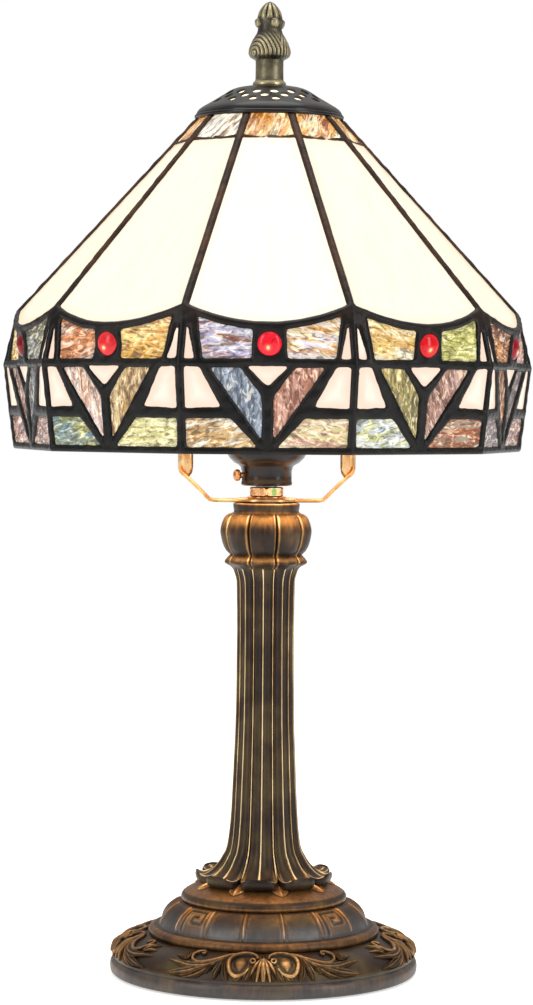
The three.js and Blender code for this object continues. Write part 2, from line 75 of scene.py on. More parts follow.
# %% [markdown]
# ## Writing shaders as sums
# A finish is a tree of nodes, but a sum such as `0.3 + 0.2 * grain` reads better than five nodes
# and their cables. The class below wraps a node's output so that Python's own signs add the Math
# nodes. The reflected forms let a plain number stand first, as in `1 - mask`. Every other node
# comes from one method, which takes its type, its settings, and what goes into its sockets.
# %% A socket that does arithmetic
class Wire:
    """An output of a shader node, used in sums like a number."""

    def __init__(self, finish, socket):
        self.finish = finish
        self.socket = socket

    def _sum(self, operation, first, second):
        return self.finish.node("ShaderNodeMath", {"operation": operation}, {0: first, 1: second})

    def __add__(self, other):
        return self._sum("ADD", self, other)

    def __radd__(self, other):
        return self._sum("ADD", other, self)

    def __sub__(self, other):
        return self._sum("SUBTRACT", self, other)

    def __rsub__(self, other):
        return self._sum("SUBTRACT", other, self)

    def __mul__(self, other):
        return self._sum("MULTIPLY", self, other)

    def __rmul__(self, other):
        return self._sum("MULTIPLY", other, self)

    def __truediv__(self, other):
        return self._sum("DIVIDE", self, other)

    def clipped(self):
        return self.finish.node("ShaderNodeClamp", {}, {"Value": self})

    def between(self, low, high):
        """0 at low, 1 at high, and smooth between them."""
        settings = {"interpolation_type": "SMOOTHSTEP"}
        inputs = {"Value": self, "From Min": low, "From Max": high}
        return self.finish.node("ShaderNodeMapRange", settings, inputs)


class Finish:
    """A shader tree that grows one expression at a time."""

    def __init__(self, tree):
        self.tree = tree

    def node(self, kind, settings=None, inputs=None, output=0):
        made = self.tree.nodes.new(kind)
        for name, value in (settings or {}).items():
            if name == "stops":
                self._stops(made.color_ramp, value)
            else:
                setattr(made, name, value)
        for name, value in (inputs or {}).items():
            if isinstance(value, Wire):
                self.tree.links.new(value.socket, made.inputs[name])
            else:
                made.inputs[name].default_value = value
        return Wire(self, made.outputs[output])

    @staticmethod
    def _stops(ramp, stops):
        while len(ramp.elements) < len(stops):
            ramp.elements.new(1.0)
        for element, (place, color) in zip(ramp.elements, stops):
            element.position = place
            element.color = (*color, 1.0)

    def mix(self, share, first, second):
        colors = [value if isinstance(value, Wire) else (*value, 1.0) for value in (first, second)]
        settings = {"data_type": "RGBA"}
        return self.node("ShaderNodeMix", settings, {0: share, 6: colors[0], 7: colors[1]}, output=2)

    def place(self, stretch=(1, 1, 1)):
        """Where a point is on its piece, in millimetres, stretched along each axis."""
        spot = self.node("ShaderNodeTexCoord", output="Object")
        scale = tuple(value / MM for value in stretch)
        return self.node("ShaderNodeMapping", {}, {"Vector": spot, "Scale": scale})

    def noise(self, where, size, detail=3.0, rough=0.5, warp=0.0):
        inputs = {"Vector": where, "Scale": 1 / size, "Detail": detail}
        inputs.update(Roughness=rough, Distortion=warp)
        return self.node("ShaderNodeTexNoise", {}, inputs)

    def ramp(self, value, stops):
        return self.node("ShaderNodeValToRGB", {"stops": stops}, {"Fac": value})

    def height(self):
        """A point's height on the lamp, in millimetres."""
        spot = self.node("ShaderNodeTexCoord", output="Object")
        return self.node("ShaderNodeSeparateXYZ", {}, {"Vector": spot}, output="Z") / MM

    def note(self, name, output="Fac"):
        """A value or color that the mesh holds at each of its points."""
        return self.node("ShaderNodeAttribute", {"attribute_name": name}, output=output)

    def bump(self, height, depth, strength=1.0):
        inputs = {"Height": height, "Distance": depth * MM, "Strength": strength}
        return self.node("ShaderNodeBump", {}, inputs, output="Normal")


class Material(Finish):
    """A named material whose Principled surface takes numbers and wires."""

    def __init__(self, name, **sockets):
        self.material = bpy.data.materials.new(name)
        self.material.use_nodes = True
        super().__init__(self.material.node_tree)
        self.surface = self.tree.nodes["Principled BSDF"]
        self.set(**sockets)

    def set(self, **sockets):
        for name, value in sockets.items():
            socket = self.surface.inputs[name.replace("_", " ")]
            if isinstance(value, Wire):
                self.tree.links.new(value.socket, socket)
            elif hasattr(socket.default_value, "__len__") and len(value) == 3:
                socket.default_value = (*value, 1.0)
            else:
                socket.default_value = value


print("shader helpers ready")

# %% [markdown]
# ## Building meshes from rows of points
# Nearly every piece of this lamp is a skin over rows of points: a turned moulding, a sheet of glass
# or a bent wire. So one small builder gathers points in millimetres, joins neighbouring rows with
# quads, and can store notes on the points, such as their relief or painted light, which the finishes read.
# %% A builder of shapes
class Shape:
    """Points in millimetres, faces, and notes on the points, gathered before they become one mesh."""

    def __init__(self):
        self.points = []
        self.faces = []
        self.notes = {}
        self.count = 0

    def add(self, points, **notes):
        """Stores points of shape (..., 3) and gives their numbers back in the same shape."""
        points = np.asarray(points, float)
        flat = points.reshape(-1, 3)
        ids = np.arange(self.count, self.count + len(flat)).reshape(points.shape[:-1])
        for name, value in notes.items():
            value = np.asarray(value, float)
            is_vector = value.ndim == points.ndim or value.shape == (3,)
            shape = points.shape if is_vector else points.shape[:-1]
            rows = np.broadcast_to(value, shape).reshape(len(flat), -1)
            self.notes.setdefault(name, []).append((self.count, rows))
        self.points.append(flat)
        self.count += len(flat)
        return ids

    def quads(self, ids, around=False, flip=False):
        """Joins rows of numbers with quads; around joins each row's end to its start."""
        if around:
            ids = np.concatenate([ids, ids[:, :1]], axis=1)
        a, b, c, d = ids[:-1, :-1], ids[:-1, 1:], ids[1:, 1:], ids[1:, :-1]
        order = (a, d, c, b) if flip else (a, b, c, d)
        self.faces.extend(np.stack([part.ravel() for part in order], axis=1).tolist())

    def cap(self, ring, flip=False):
        face = [int(number) for number in ring]
        self.faces.append(face[::-1] if flip else face)

    def slab(self, outer, inner, **notes):
        """A sheet between two grids of points, closed round its edge."""
        top = self.add(outer, **notes)
        under = self.add(inner, **notes)
        self.quads(top)
        self.quads(under, flip=True)
        edges = ((top[0], under[0]), (top[-1], under[-1]),
                 (top[:, 0], under[:, 0]), (top[:, -1], under[:, -1]))
        for pair, flip in zip(edges, (True, False, False, True)):
            self.quads(np.stack(pair), flip=flip)

    def tube(self, path, radius, sides=12, closed=False, squash=1.0, **notes):
        """A round bar along a path; radius is a number or one number for each point."""
        path = np.asarray(path, float)
        radius = np.broadcast_to(radius, len(path))
        ahead = np.roll(path, -1, 0) - np.roll(path, 1, 0) if closed else np.gradient(path, axis=0)
        ahead /= np.linalg.norm(ahead, axis=1)[:, None]
        side = steady_sides(ahead)
        over = np.cross(ahead, side)
        turn = np.linspace(0, 2 * math.pi, sides, endpoint=False)
        ring = np.cos(turn)[:, None] * side[:, None] + squash * np.sin(turn)[:, None] * over[:, None]
        ids = self.add(path[:, None] + radius[:, None, None] * ring, **notes)
        if closed:
            ids = np.concatenate([ids, ids[:1]])
        else:
            self.cap(ids[0], flip=True)
            self.cap(ids[-1])
        self.quads(ids, around=True)
        return ids

    def turned(self, profile, steps=96, closed=False, **notes):
        """A turning: a profile of (radius, height) swept round the axis."""
        profile = np.asarray(profile, float)
        turn = np.linspace(0, 2 * math.pi, steps, endpoint=False)
        radius, height = profile[:, :1], profile[:, 1:2] + 0 * turn
        ids = self.add(np.stack([radius * np.cos(turn), radius * np.sin(turn), height], axis=-1), **notes)
        if closed:
            ids = np.concatenate([ids, ids[:1]])
        else:
            self.cap(ids[0], flip=True)
            self.cap(ids[-1])
        self.quads(ids, around=True)
        return ids

    def build(self, name, finish, body, stands_for=(), weld=0.0, smooth=60):
        mesh = bpy.data.meshes.new(name)
        points = np.concatenate(self.points)
        mesh.from_pydata((points * MM).tolist(), [], self.faces)
        for note, blocks in self.notes.items():
            self._write_note(mesh, note, blocks, len(points))
        mesh.materials.append(finish.material)
        piece = bpy.data.objects.new(name, mesh)
        bpy.context.collection.objects.link(piece)
        self._tidy(mesh, weld)
        mesh.shade_smooth()
        mesh.set_sharp_from_angle(angle=math.radians(smooth))
        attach(piece, body)
        if stands_for:
            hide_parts(*stands_for)
        return piece

    @staticmethod
    def _write_note(mesh, name, blocks, count):
        width = blocks[0][1].shape[1]
        values = np.zeros((count, width))
        for first, block in blocks:
            values[first:first + len(block)] = block
        kind, field = ("FLOAT", "value") if width == 1 else ("FLOAT_VECTOR", "vector")
        mesh.attributes.new(name, kind, "POINT").data.foreach_set(field, values.ravel())

    @staticmethod
    def _tidy(mesh, weld):
        work = bmesh.new()
        work.from_mesh(mesh)
        if weld:
            bmesh.ops.remove_doubles(work, verts=work.verts, dist=weld * MM)
        loose = [point for point in work.verts if not point.link_faces]
        bmesh.ops.delete(work, geom=loose, context="VERTS")
        bmesh.ops.recalc_face_normals(work, faces=work.faces)
        work.to_mesh(mesh)
        work.free()


def steady_sides(ahead):
    """A sideways direction at each point of a path, carried along so that it never twists."""
    start = np.cross(ahead[0], (0.3, 1.0, 0.2))
    sides = [start / np.linalg.norm(start)]
    for way in ahead[1:]:
        side = sides[-1] - way * (sides[-1] @ way)
        sides.append(side / np.linalg.norm(side))
    return np.array(sides)


def waves(points, size, seed):
    """A smooth random swell, from -1 to 1, of points in millimetres: a few crossed sine waves."""
    draw = np.random.default_rng(seed)
    total = np.zeros(np.asarray(points).shape[:-1])
    for _ in range(6):
        way = draw.normal(size=3)
        way *= 2 * math.pi / (size * draw.uniform(0.6, 1.6) * np.linalg.norm(way))
        total += np.sin(points @ way + draw.uniform(0, 2 * math.pi))
    return total / 4


print("mesh helpers ready")

# %% [markdown]
# ## The form of the shade
# The shade is a ten-sided tent of glass: a steep band at the bottom, a belt where it turns in, and
# a roof of ten long panels that ends under the metal cap. The roof's lower edge is scalloped, so
# it hangs lower in the middle of each facet. We describe only the front facet, as a distance from
# the axis at any place across it and at any height, and turn that facet ten times.
# %% The front facet as a surface
SIDES = 10
HALF_TURN = math.pi / SIDES
CROWN_TOP = (35.0, 408.8)           # a corner's distance from the axis, and its height
CROWN_FOOT = (45.5, 397.4)
SHOULDER = (120.0, 315.8)
BELT = (126.0, 290.5)
RIM = (121.2, 252.6)
FLAT = math.cos(HALF_TURN)
WIDE = math.sin(HALF_TURN)
ROOF_TILT = math.atan2(CROWN_TOP[1] - SHOULDER[1], (SHOULDER[0] - CROWN_TOP[0]) * FLAT)
ROOF_RISE = math.sin(ROOF_TILT)
SCALLOP_DROP = 11.4
SHOULDER_HALF = SHOULDER[0] * WIDE
GLASS_THICK = 3.0
GLASS_SUNK = 0.15


def scallop_height(across):
    """The height of the roof's scalloped lower edge."""
    hang = SCALLOP_DROP * (1 - np.clip(across / SHOULDER_HALF, -1, 1) ** 2)
    return SHOULDER[1] - hang * ROOF_RISE


def reach(across, height):
    """How far the front facet is from the axis."""
    edge = scallop_height(across)
    roof = SHOULDER[0] * FLAT + (SHOULDER[1] - height) / math.tan(ROOF_TILT)
    eaves = SHOULDER[0] * FLAT + (SHOULDER[1] - edge) / math.tan(ROOF_TILT)
    skirt = FLAT * np.interp(height, (RIM[1], BELT[1]), (RIM[0], BELT[0]))
    share = np.clip((height - BELT[1]) / (edge - BELT[1]), 0, 1)
    return np.where(height > edge, roof, skirt + (eaves - BELT[0] * FLAT) * share)


def half_width(height):
    """From the facet's middle to its corner."""
    corners = (RIM, BELT, SHOULDER, CROWN_TOP)
    return WIDE * np.interp(height, [c[1] for c in corners], [c[0] for c in corners])


def facet_frame(across, height):
    """Points on the front facet, and the directions that point out of it."""
    across, height = np.broadcast_arrays(across, height)
    points = np.stack([across, -reach(across, height), height], axis=-1)
    lean = (reach(across, height + 2.5) - reach(across, height - 2.5)) / 5
    swing = (reach(across + 1, height) - reach(across - 1, height)) / 2
    corner = np.clip(1 - (half_width(height) - abs(across)) / 3, 0, 1)
    sideways = -swing * (1 - corner) + corner * np.sign(across) * math.tan(HALF_TURN)
    out = np.stack([sideways, -np.ones(across.shape), -lean], axis=-1)
    return points, out / np.linalg.norm(out, axis=-1, keepdims=True)


def turned_to(points, facet):
    """Turns points of the front facet to facet 0 to 9, anticlockwise from above."""
    turn = 2 * HALF_TURN * facet
    x, y = points[..., 0], points[..., 1]
    turned = (x * math.cos(turn) - y * math.sin(turn), x * math.sin(turn) + y * math.cos(turn))
    return np.stack([*turned, points[..., 2]], axis=-1)


print("roof tilt", round(math.degrees(ROOF_TILT), 1), "degrees")

# %% [markdown]
# ## Cutting the pattern
# Each facet's pattern is a list of openings in the lead, and one sheet of glass sits in each. Every
# opening has four corners, so that one way of measuring and one way of making glass serves all of
# them; a triangle is a four-cornered shape with one very short side. The left half is the mirror
# of the right half. The upper row is set a little off centre, and each facet's pattern is pushed
# sideways by its own small amount, as handwork is.
# %% The openings of one facet
UPPER_SHIFT = 0.8
JEWEL_PLACE = (0.8, 299.3)
JEWEL_OPENING = 4.85


def mirrored(corners):
    """The same opening on the left, with its corners in the same turning order."""
    (a, b, c, d) = [(-across, height) for across, height in corners]
    return (b, a, d, c)


def shifted(corners):
    return tuple((across + UPPER_SHIFT, height) for across, height in corners)


def scallop_foot(across):
    """The top edge of the upper glass, under the lead of the scallop."""
    return scallop_height(across) - 1.95


UPPER = ((8.0, 292.7), (29.4, 292.7), (31.6, scallop_foot(31.6)), (7.4, scallop_foot(7.4)))
SLIVER = ((32.4, 292.7), (37.0, 292.7), (36.0, 307.3), (35.2, 307.3))
TRIANGLE = ((-0.6, 280.7), (0.6, 280.7), (9.4, 289.4), (-9.4, 289.4))
VEE = ((2.6, 256.7), (25.4, 288.7), (12.1, 288.7), (2.6, 276.2))
SIDE_OPAL = ((20.7, 271.4), (36.5, 270.8), (36.9, 289.1), (30.3, 289.1))
BOTTOM = ((4.4, 253.5), (35.4, 253.5), (36.0, 266.2), (16.5, 266.3))
RIPPLED_OPENINGS = {
    "upper_left": shifted(mirrored(UPPER)), "upper_right": shifted(UPPER),
    "vee_left": mirrored(VEE), "vee_right": VEE,
    "bottom_left": mirrored(BOTTOM), "bottom_right": BOTTOM,
}
OPAL_OPENINGS = {
    "sliver_left": mirrored(SLIVER), "sliver_right": SLIVER, "triangle": TRIANGLE,
    "side_left": mirrored(SIDE_OPAL), "side_right": SIDE_OPAL,
}


def up_slope(height):
    """Distance up the roof's slope from the shoulder."""
    return (height - SHOULDER[1]) / ROOF_RISE


def from_opening(corners, across, height, sharp=2.2):
    """How far a place is outside a four-cornered opening; the corners come out rounded."""
    total = 0
    for (x0, y0), (x1, y1) in zip(corners, corners[1:] + corners[:1]):
        length = math.hypot(x1 - x0, y1 - y0)
        outside = ((across - x0) * (y1 - y0) - (height - y0) * (x1 - x0)) / length
        total = total + np.exp(np.clip(sharp * outside, -60, 60))
    return np.log(total) / sharp


def from_roof_glass(across, height, low, high, side_gap):
    """How far a place is outside a roof or crown opening, measured in the slope."""
    up = up_slope(height)
    low = np.broadcast_to(low, across.shape)
    edges = (low - up, up - high, abs(across) - (half_width(height) - side_gap))
    total = sum(np.exp(np.clip(2.2 * edge, -60, 60)) for edge in edges)
    return np.log(total) / 2.2


ROOF_FOOT_GAP = 2.3
# How far each facet's triangle, and its jewel, sit from their true place
PUSHED = ((0.2, 0.0), (0.9, 0.5), (-0.6, 0.3), (0.5, -0.4), (-0.3, 0.6), (0.4, -0.3), (-0.8, 0.2),
          (0.6, 0.4), (-0.5, -0.6), (-4.2, -1.5))
CROWN_SLOPE = up_slope(CROWN_FOOT[1])
TOP_SLOPE = up_slope(CROWN_TOP[1])


def handmade(facet, across, height):
    """How far a facet's pattern is pushed sideways at a place; its corners stay where they are."""
    low, high = PUSHED[facet]
    share = np.clip((height - 288) / 9, 0, 1)
    push = low + (high - low) * share
    fade = np.clip((SHOULDER[1] - height) / 8, 0, 1)
    return push * fade * (1 - np.clip(across / half_width(height), -1, 1) ** 2)


def lead_depth(across, height):
    """How far inside the lead a place is, in millimetres; less than nothing is glass or air."""
    depth = np.hypot(across - JEWEL_PLACE[0], height - JEWEL_PLACE[1]) - JEWEL_OPENING
    for name, corners in {**RIPPLED_OPENINGS, **OPAL_OPENINGS}.items():
        outside = from_opening(corners, across, height)
        if name.startswith("upper"):
            outside = np.maximum(outside, height - scallop_foot(across))
        depth = np.minimum(depth, outside)
    foot = up_slope(scallop_height(across)) + ROOF_FOOT_GAP
    depth = np.minimum(depth, from_roof_glass(across, height, foot, CROWN_SLOPE - 0.8, 1.6))
    crown = from_roof_glass(across, height, CROWN_SLOPE + 0.9, TOP_SLOPE + 0.5, 2.1)
    return np.minimum(depth, crown)


print(len(RIPPLED_OPENINGS) + len(OPAL_OPENINGS) + 3, "openings in each facet")

# %% [markdown]
# ## The lead web
# On the real shade each sheet's edge is wrapped in foil, and solder is run along every seam, inside
# and out, until it stands up as a round bead. Tubes laid along the seams would cross each other
# badly at the joins. Instead we treat the whole web as one skin whose height above the glass grows
# with the distance from the nearest opening: beads swell and flow together where seams meet, just
# as molten solder does. A grid over the facet is clipped where that distance falls to zero.
# %% A pierced double skin
def pierced_skin(shape, outer, inner, depth, **notes):
    """Keeps the part of two facing grids where depth is above zero, and walls the cut edges."""
    rows, cols = depth.shape
    keep = depth > 0
    top = shape.add(outer, **notes)
    under = shape.add(inner, **notes)
    corners = [(0, 0), (0, 1), (1, 1), (1, 0)]
    inside = np.stack([keep[i:rows - 1 + i, j:cols - 1 + j] for i, j in corners])
    whole = inside.all(0)
    ids = np.stack([top[i:rows - 1 + i, j:cols - 1 + j][whole] for i, j in corners], axis=1)
    shape.faces.extend(ids.tolist())
    shape.faces.extend((ids[:, ::-1] + under[0, 0] - top[0, 0]).tolist())
    crossings = {}
    for i, j in np.argwhere(inside.any(0) & ~whole):
        cut_cell(shape, [(i + di, j + dj) for di, dj in corners], (outer, inner, depth), crossings,
                 (top, under))


def cut_cell(shape, cell, grids, crossings, ids):
    """Clips one square of the grid to the kept side."""
    outer, inner, depth = grids
    loop = []
    for here, ahead in zip(cell, cell[1:] + cell[:1]):
        if depth[here] > 0:
            loop.append((int(ids[0][here]), int(ids[1][here]), False))
        if (depth[here] > 0) != (depth[ahead] > 0):
            key = (min(here, ahead), max(here, ahead))
            if key not in crossings:
                share = np.clip(depth[key[0]] / (depth[key[0]] - depth[key[1]]), 0.04, 0.96)
                pair = [grid[key[0]] * (1 - share) + grid[key[1]] * share for grid in (outer, inner)]
                crossings[key] = [int(number) for number in shape.add(pair)]
            loop.append((*crossings[key], True))
    if len(loop) < 3:
        return
    shape.faces.append([point[0] for point in loop])
    shape.faces.append([point[1] for point in loop][::-1])
    for point, ahead in zip(loop, loop[1:] + loop[:1]):
        if point[2] and ahead[2]:
            shape.faces.append([ahead[0], point[0], point[1], ahead[1]])


def facet_grid(columns, skirt_step, roof_step):
    """Places over one facet: rows follow the belt, then the scallop, then the crown."""
    across = np.linspace(-1, 1, columns)
    low = np.arange(RIM[1] - 3.0, BELT[1] - 0.01, skirt_step)
    share = np.linspace(0, 1, int((SHOULDER[1] - BELT[1]) / skirt_step))[:, None]
    edge = scallop_height(across * SHOULDER_HALF)
    strip = BELT[1] + (edge - BELT[1]) * share
    strip_half = BELT[0] * WIDE + (SHOULDER_HALF - BELT[0] * WIDE) * share
    climb = np.linspace(0, 1, int((TOP_SLOPE + 8) / roof_step))[1:, None]
    roof = edge + (CROWN_TOP[1] + 1.2 - edge) * climb
    roof_half = np.minimum(half_width(roof), SHOULDER_HALF)
    height = np.concatenate([low[:, None] + 0 * across, strip, roof])
    half = np.concatenate([half_width(low)[:, None] + 0 * across, strip_half + 0 * across, roof_half])
    return across * half, height


print("grid of", facet_grid(121, 0.6, 1.5)[0].shape)

# %% The lead web of all ten facets
BEAD_RISE = 1.15
BEAD_SPREAD = 1.9


def lead_skin(facet):
    """The outer and inner skins of one facet's lead, and how deep in the lead each point is."""
    across, height = facet_grid(111, 0.66, 1.5)
    points, out = facet_frame(across, height)
    points, out = turned_to(points, facet), turned_to(out, facet)
    pattern = across - handmade(facet, across, height)
    depth = lead_depth(pattern, height) + 0.16 * waves(points, 9, 4) + 0.1 * waves(points, 3.5, 5)
    at_corner = 2.0 - (half_width(height) - abs(across))
    depth = np.maximum(depth, at_corner)
    depth = np.minimum(depth, height - (RIM[1] - 2.2))
    depth = np.minimum(depth, CROWN_TOP[1] + 0.7 - height)
    rise = BEAD_RISE * np.sqrt(1 - (1 - np.clip(depth / BEAD_SPREAD, 0, 1)) ** 2)
    rise = rise * (1 + 0.16 * waves(points, 5, 6))
    outer = points + out * (rise - GLASS_SUNK)[..., None]
    inner = points - out * (rise + GLASS_THICK - GLASS_SUNK)[..., None]
    return outer, inner, depth


def make_lead(finish):
    web = Shape()
    for facet in range(SIDES):
        pierced_skin(web, *lead_skin(facet))
    return web.build("lead_web", finish, "shade", ["came_frame"], weld=0.02, smooth=75)

# %% [markdown]
# ## Solder and its patina
# Solder is bright when new, but lamp makers darken it with a copper patina. On the skirt it looks
# almost black with a gloss; on the roof it is brown. So the color
# follows the height, with cloudy noise to break the change, and small lumps in the bump.
# %% The lead finish
def paint(code):
    """A color written as on a paint chart, such as "c9a26b", in the linear values that shaders use."""
    values = [int(code[i:i + 2], 16) / 255 for i in (0, 2, 4)]
    return tuple(v / 12.92 if v <= 0.04045 else ((v + 0.055) / 1.055) ** 2.4 for v in values)


def lead_finish():
    lead = Material("patinated_solder", Specular_IOR_Level=0.22)
    where = lead.place()
    clouds = lead.noise(where, 14, detail=4)
    specks = lead.noise(where, 1.1, detail=3, rough=0.65)
    lumps = lead.noise(where, 3.2, detail=2)
    up = lead.height().between(300, 345)
    skirt = lead.mix(clouds.between(0.35, 0.7), paint("0b0a0a"), paint("1b1917"))
    roof = lead.mix(clouds.between(0.3, 0.7), paint("24160e"), paint("4a2f1c"))
    color = lead.mix(up, skirt, roof)
    color = lead.mix(specks.between(0.62, 0.8) * 0.3, color, paint("5a4c40"))
    lead.set(Base_Color=color, Metallic=0.1 + 0.15 * clouds, Roughness=0.28 + 0.2 * specks)
    lead.set(Normal=lead.bump(lumps + 0.35 * specks, 0.35, 0.6))
    return lead


lead_web = make_lead(lead_finish())
print("lead web:", len(lead_web.data.polygons), "faces")

# %% [markdown]
# ## Sheets of glass
# A sheet is cut a little larger than its opening, so that its edge hides under the lead. Each one
# gets its own grain: art glass is rolled from several colors at once, so streaks run one way in a
# sheet, and the cutter turns each piece as they like. We store three colors, the grain's direction
# and the distance from the edge on the points, and one finish then serves every sheet.
# %% Making a sheet
TUCK = 1.1
chance = np.random.default_rng(7)


def grown(corners, by):
    """The same opening with each edge moved outwards."""
    points = np.array(corners)
    ways = np.roll(points, -1, 0) - points
    ways /= np.linalg.norm(ways, axis=1)[:, None]
    outward = np.stack([ways[:, 1], -ways[:, 0]], axis=1)
    moved = []
    for k in range(4):
        lines = np.stack([outward[k - 1], outward[k]])
        reach_of = [lines[0] @ points[k] + by, lines[1] @ points[k] + by]
        moved.append(np.linalg.solve(lines, reach_of))
    return np.array(moved)


def sheet_places(corners, columns, rows, curved_top=False):
    """A grid of (across, height) over a four-cornered sheet, and how far each is from its edge."""
    u = np.linspace(0, 1, columns)[None]
    v = np.linspace(0, 1, rows)[:, None]
    low_left, low_right, top_right, top_left = corners
    foot = low_left + (low_right - low_left) * u[..., None]
    head = top_left + (top_right - top_left) * u[..., None]
    if curved_top:
        head[..., 1] = scallop_foot(head[..., 0]) + TUCK
    place = foot + (head - foot) * v[..., None]
    width = np.linalg.norm(place[:, -1] - place[:, 0], axis=-1)[:, None]
    tall = np.linalg.norm(place[-1] - place[0], axis=-1)[None]
    inset = np.minimum(np.minimum(u, 1 - u) * width, np.minimum(v, 1 - v) * tall)
    return place[..., 0], place[..., 1], inset - TUCK


def grain_of(across, height, angle, seed):
    """Places measured along and across a sheet's streaks, with a number that sets it apart."""
    along = across * math.cos(angle) + height * math.sin(angle)
    aside = height * math.cos(angle) - across * math.sin(angle)
    return np.stack([along, aside, np.full(across.shape, 37.0 * seed)], axis=-1)


def add_sheet(shape, facet, places, tints, angle, ripple=0.0, thick=GLASS_THICK - 2 * GLASS_SUNK):
    """Adds one sheet of glass to a piece."""
    across, height, inset = places
    across = across + handmade(facet, across, height)
    points, out = facet_frame(across, height)
    points, out = turned_to(points, facet), turned_to(out, facet)
    sway = ripple * waves(points, 6, 11) + 0.4 * ripple * waves(points, 2.5, 12)
    grain = grain_of(across, height, math.radians(angle), chance.uniform(0, 1))
    outer = points + out * (sway - GLASS_SUNK)[..., None]
    inner = points - out * (thick + GLASS_SUNK)
    tint_a, tint_b, tint_c = (np.array(paint(code)) for code in tints)
    shape.slab(outer, inner, inset=inset, grain=grain, tint_a=tint_a, tint_b=tint_b, tint_c=tint_c)


print("a grown upper opening:", grown(UPPER, TUCK).round(1).tolist())

# %% [markdown]
# ## Glass with a light behind it
# A lit shade is brighter than anything that falls on it from the room. Tracing light through
# streaky, half-clear glass is slow and grainy, and most of what we see is how the sheet spreads the
# bulb's glow. So the sheets glow themselves: streaks, wisps and fine seeds are mixed into one color,
# which feeds both the surface and its emission, and ripples in the bump catch the room's light.
# %% Glass finishes
def dimmed(finish, color, level):
    """A color made darker by a level from 0 to 1."""
    return finish.mix(level, (0, 0, 0), color)


def opal_finish():
    glass = Material("opal_glass", Roughness=0.16, Coat_Weight=0.1, Emission_Strength=1.0)
    grain = glass.note("grain", "Vector")
    long = glass.node("ShaderNodeMapping", {}, {"Vector": grain, "Scale": (0.3, 1, 1)})
    wisps = glass.noise(long, 9, detail=4, warp=1.5)
    clouds = glass.noise(grain, 22, detail=3, warp=0.8)
    inset = glass.note("inset")
    rim = 1 - (inset + 5 * (clouds - 0.5)).between(0, 7)
    tints = [glass.note(name, "Color") for name in ("tint_a", "tint_b", "tint_c")]
    body = glass.mix(wisps.between(0.35, 0.65), tints[0], tints[1])
    color = glass.mix(rim * 0.7, body, tints[2])
    glass.set(Base_Color=dimmed(glass, color, 0.1), Emission_Color=dimmed(glass, color, 0.93))
    glass.set(Normal=glass.bump(clouds + 0.4 * wisps, 0.8, 0.5))
    return glass


def rippled_finish():
    glass = Material("rippled_glass", Roughness=0.09, Coat_Weight=0.15, Emission_Strength=1.25)
    grain = glass.note("grain", "Vector")
    long = glass.node("ShaderNodeMapping", {}, {"Vector": grain, "Scale": (0.2, 1, 1)})
    waved = glass.node("ShaderNodeMapping", {}, {"Vector": grain, "Scale": (0.42, 1, 1)})
    streaks = glass.noise(long, 3.2, detail=4, rough=0.6, warp=0.9)
    bands = glass.noise(long, 8, detail=2, warp=1.6)
    seeds = glass.noise(grain, 0.8, detail=3, rough=0.7)
    ripples = glass.noise(waved, 2.1, detail=2, rough=0.55, warp=1.2)
    tints = [glass.note(name, "Color") for name in ("tint_a", "tint_b", "tint_c")]
    color = glass.mix(bands.between(0.4, 0.6), tints[0], tints[1])
    color = glass.mix(streaks.between(0.46, 0.62), color, tints[2])
    # Ripple crests are painted bright and troughs dark: painted highlights and shade of the bulb's light
    # through rippled glass.
    ripple_highlight = ripples.between(0.52, 0.66)
    trough = 1 - ripples.between(0.34, 0.48)
    color = glass.mix(ripple_highlight * 0.4, color, paint("fff0d0"))
    color = glass.mix(trough * 0.45, color, paint("5a4128"))
    # The glow dims towards the lead: painted shade along each sheet's edge.
    inset = glass.note("inset").between(-0.5, 2.6)
    level = 0.62 + 0.4 * ripple_highlight - 0.34 * trough + 0.5 * (seeds - 0.5)
    glow = dimmed(glass, color, (level * (0.6 + 0.4 * inset)).clipped())
    glass.set(Base_Color=dimmed(glass, color, 0.25), Emission_Color=glow)
    glass.set(Normal=glass.bump(ripples + 0.3 * seeds, 0.9, 0.8))
    return glass


opal_glass = opal_finish()
rippled_glass = rippled_finish()
print("glass finishes ready")

# %% [markdown]
# ## The roof's opal panels
# Ten tall sheets of milky glass make the roof. Lit from behind they are nearly white, and a little
# warmer at the edges, where the light has a longer way through the glass.
# %% Opal panels and crown panes
OPAL_TINTS = ("fffcea", "fffbe4", "ffeed4")
OPAL_PAINTED_SLANT = ("fff4de", "ffefd2", "fadab0")
CROWN_TINTS = {
    "ice": ("f4efe2", "fff8ea", "9c7a50"), "amber": ("eaa240", "ffeab4", "b8691c"),
    "stripe": ("f2aa48", "fff3cc", "a85410"),
}
CROWN_ORDER = ("amber", "stripe", "amber", "ice", "amber", "stripe", "ice", "amber", "stripe", "ice")


def roof_places(low_gap, high, rows, columns=31, edge_gap=0.55):
    """Places over a roof panel from a distance above its foot to a place on the slope."""
    u = np.linspace(-1, 1, columns)[None]
    v = np.linspace(0, 1, rows)[:, None]
    foot = scallop_height(u * SHOULDER_HALF) if low_gap is None else SHOULDER[1] + low_gap * ROOF_RISE
    foot = foot + (1.25 * ROOF_RISE if low_gap is None else 0)
    height = foot + (SHOULDER[1] + high * ROOF_RISE - foot) * v
    half = np.minimum(half_width(height), SHOULDER_HALF) - edge_gap
    inset = np.minimum((1 - abs(u)) * half, np.minimum(v, 1 - v) * 100)
    return u * half, height + 0 * u, inset


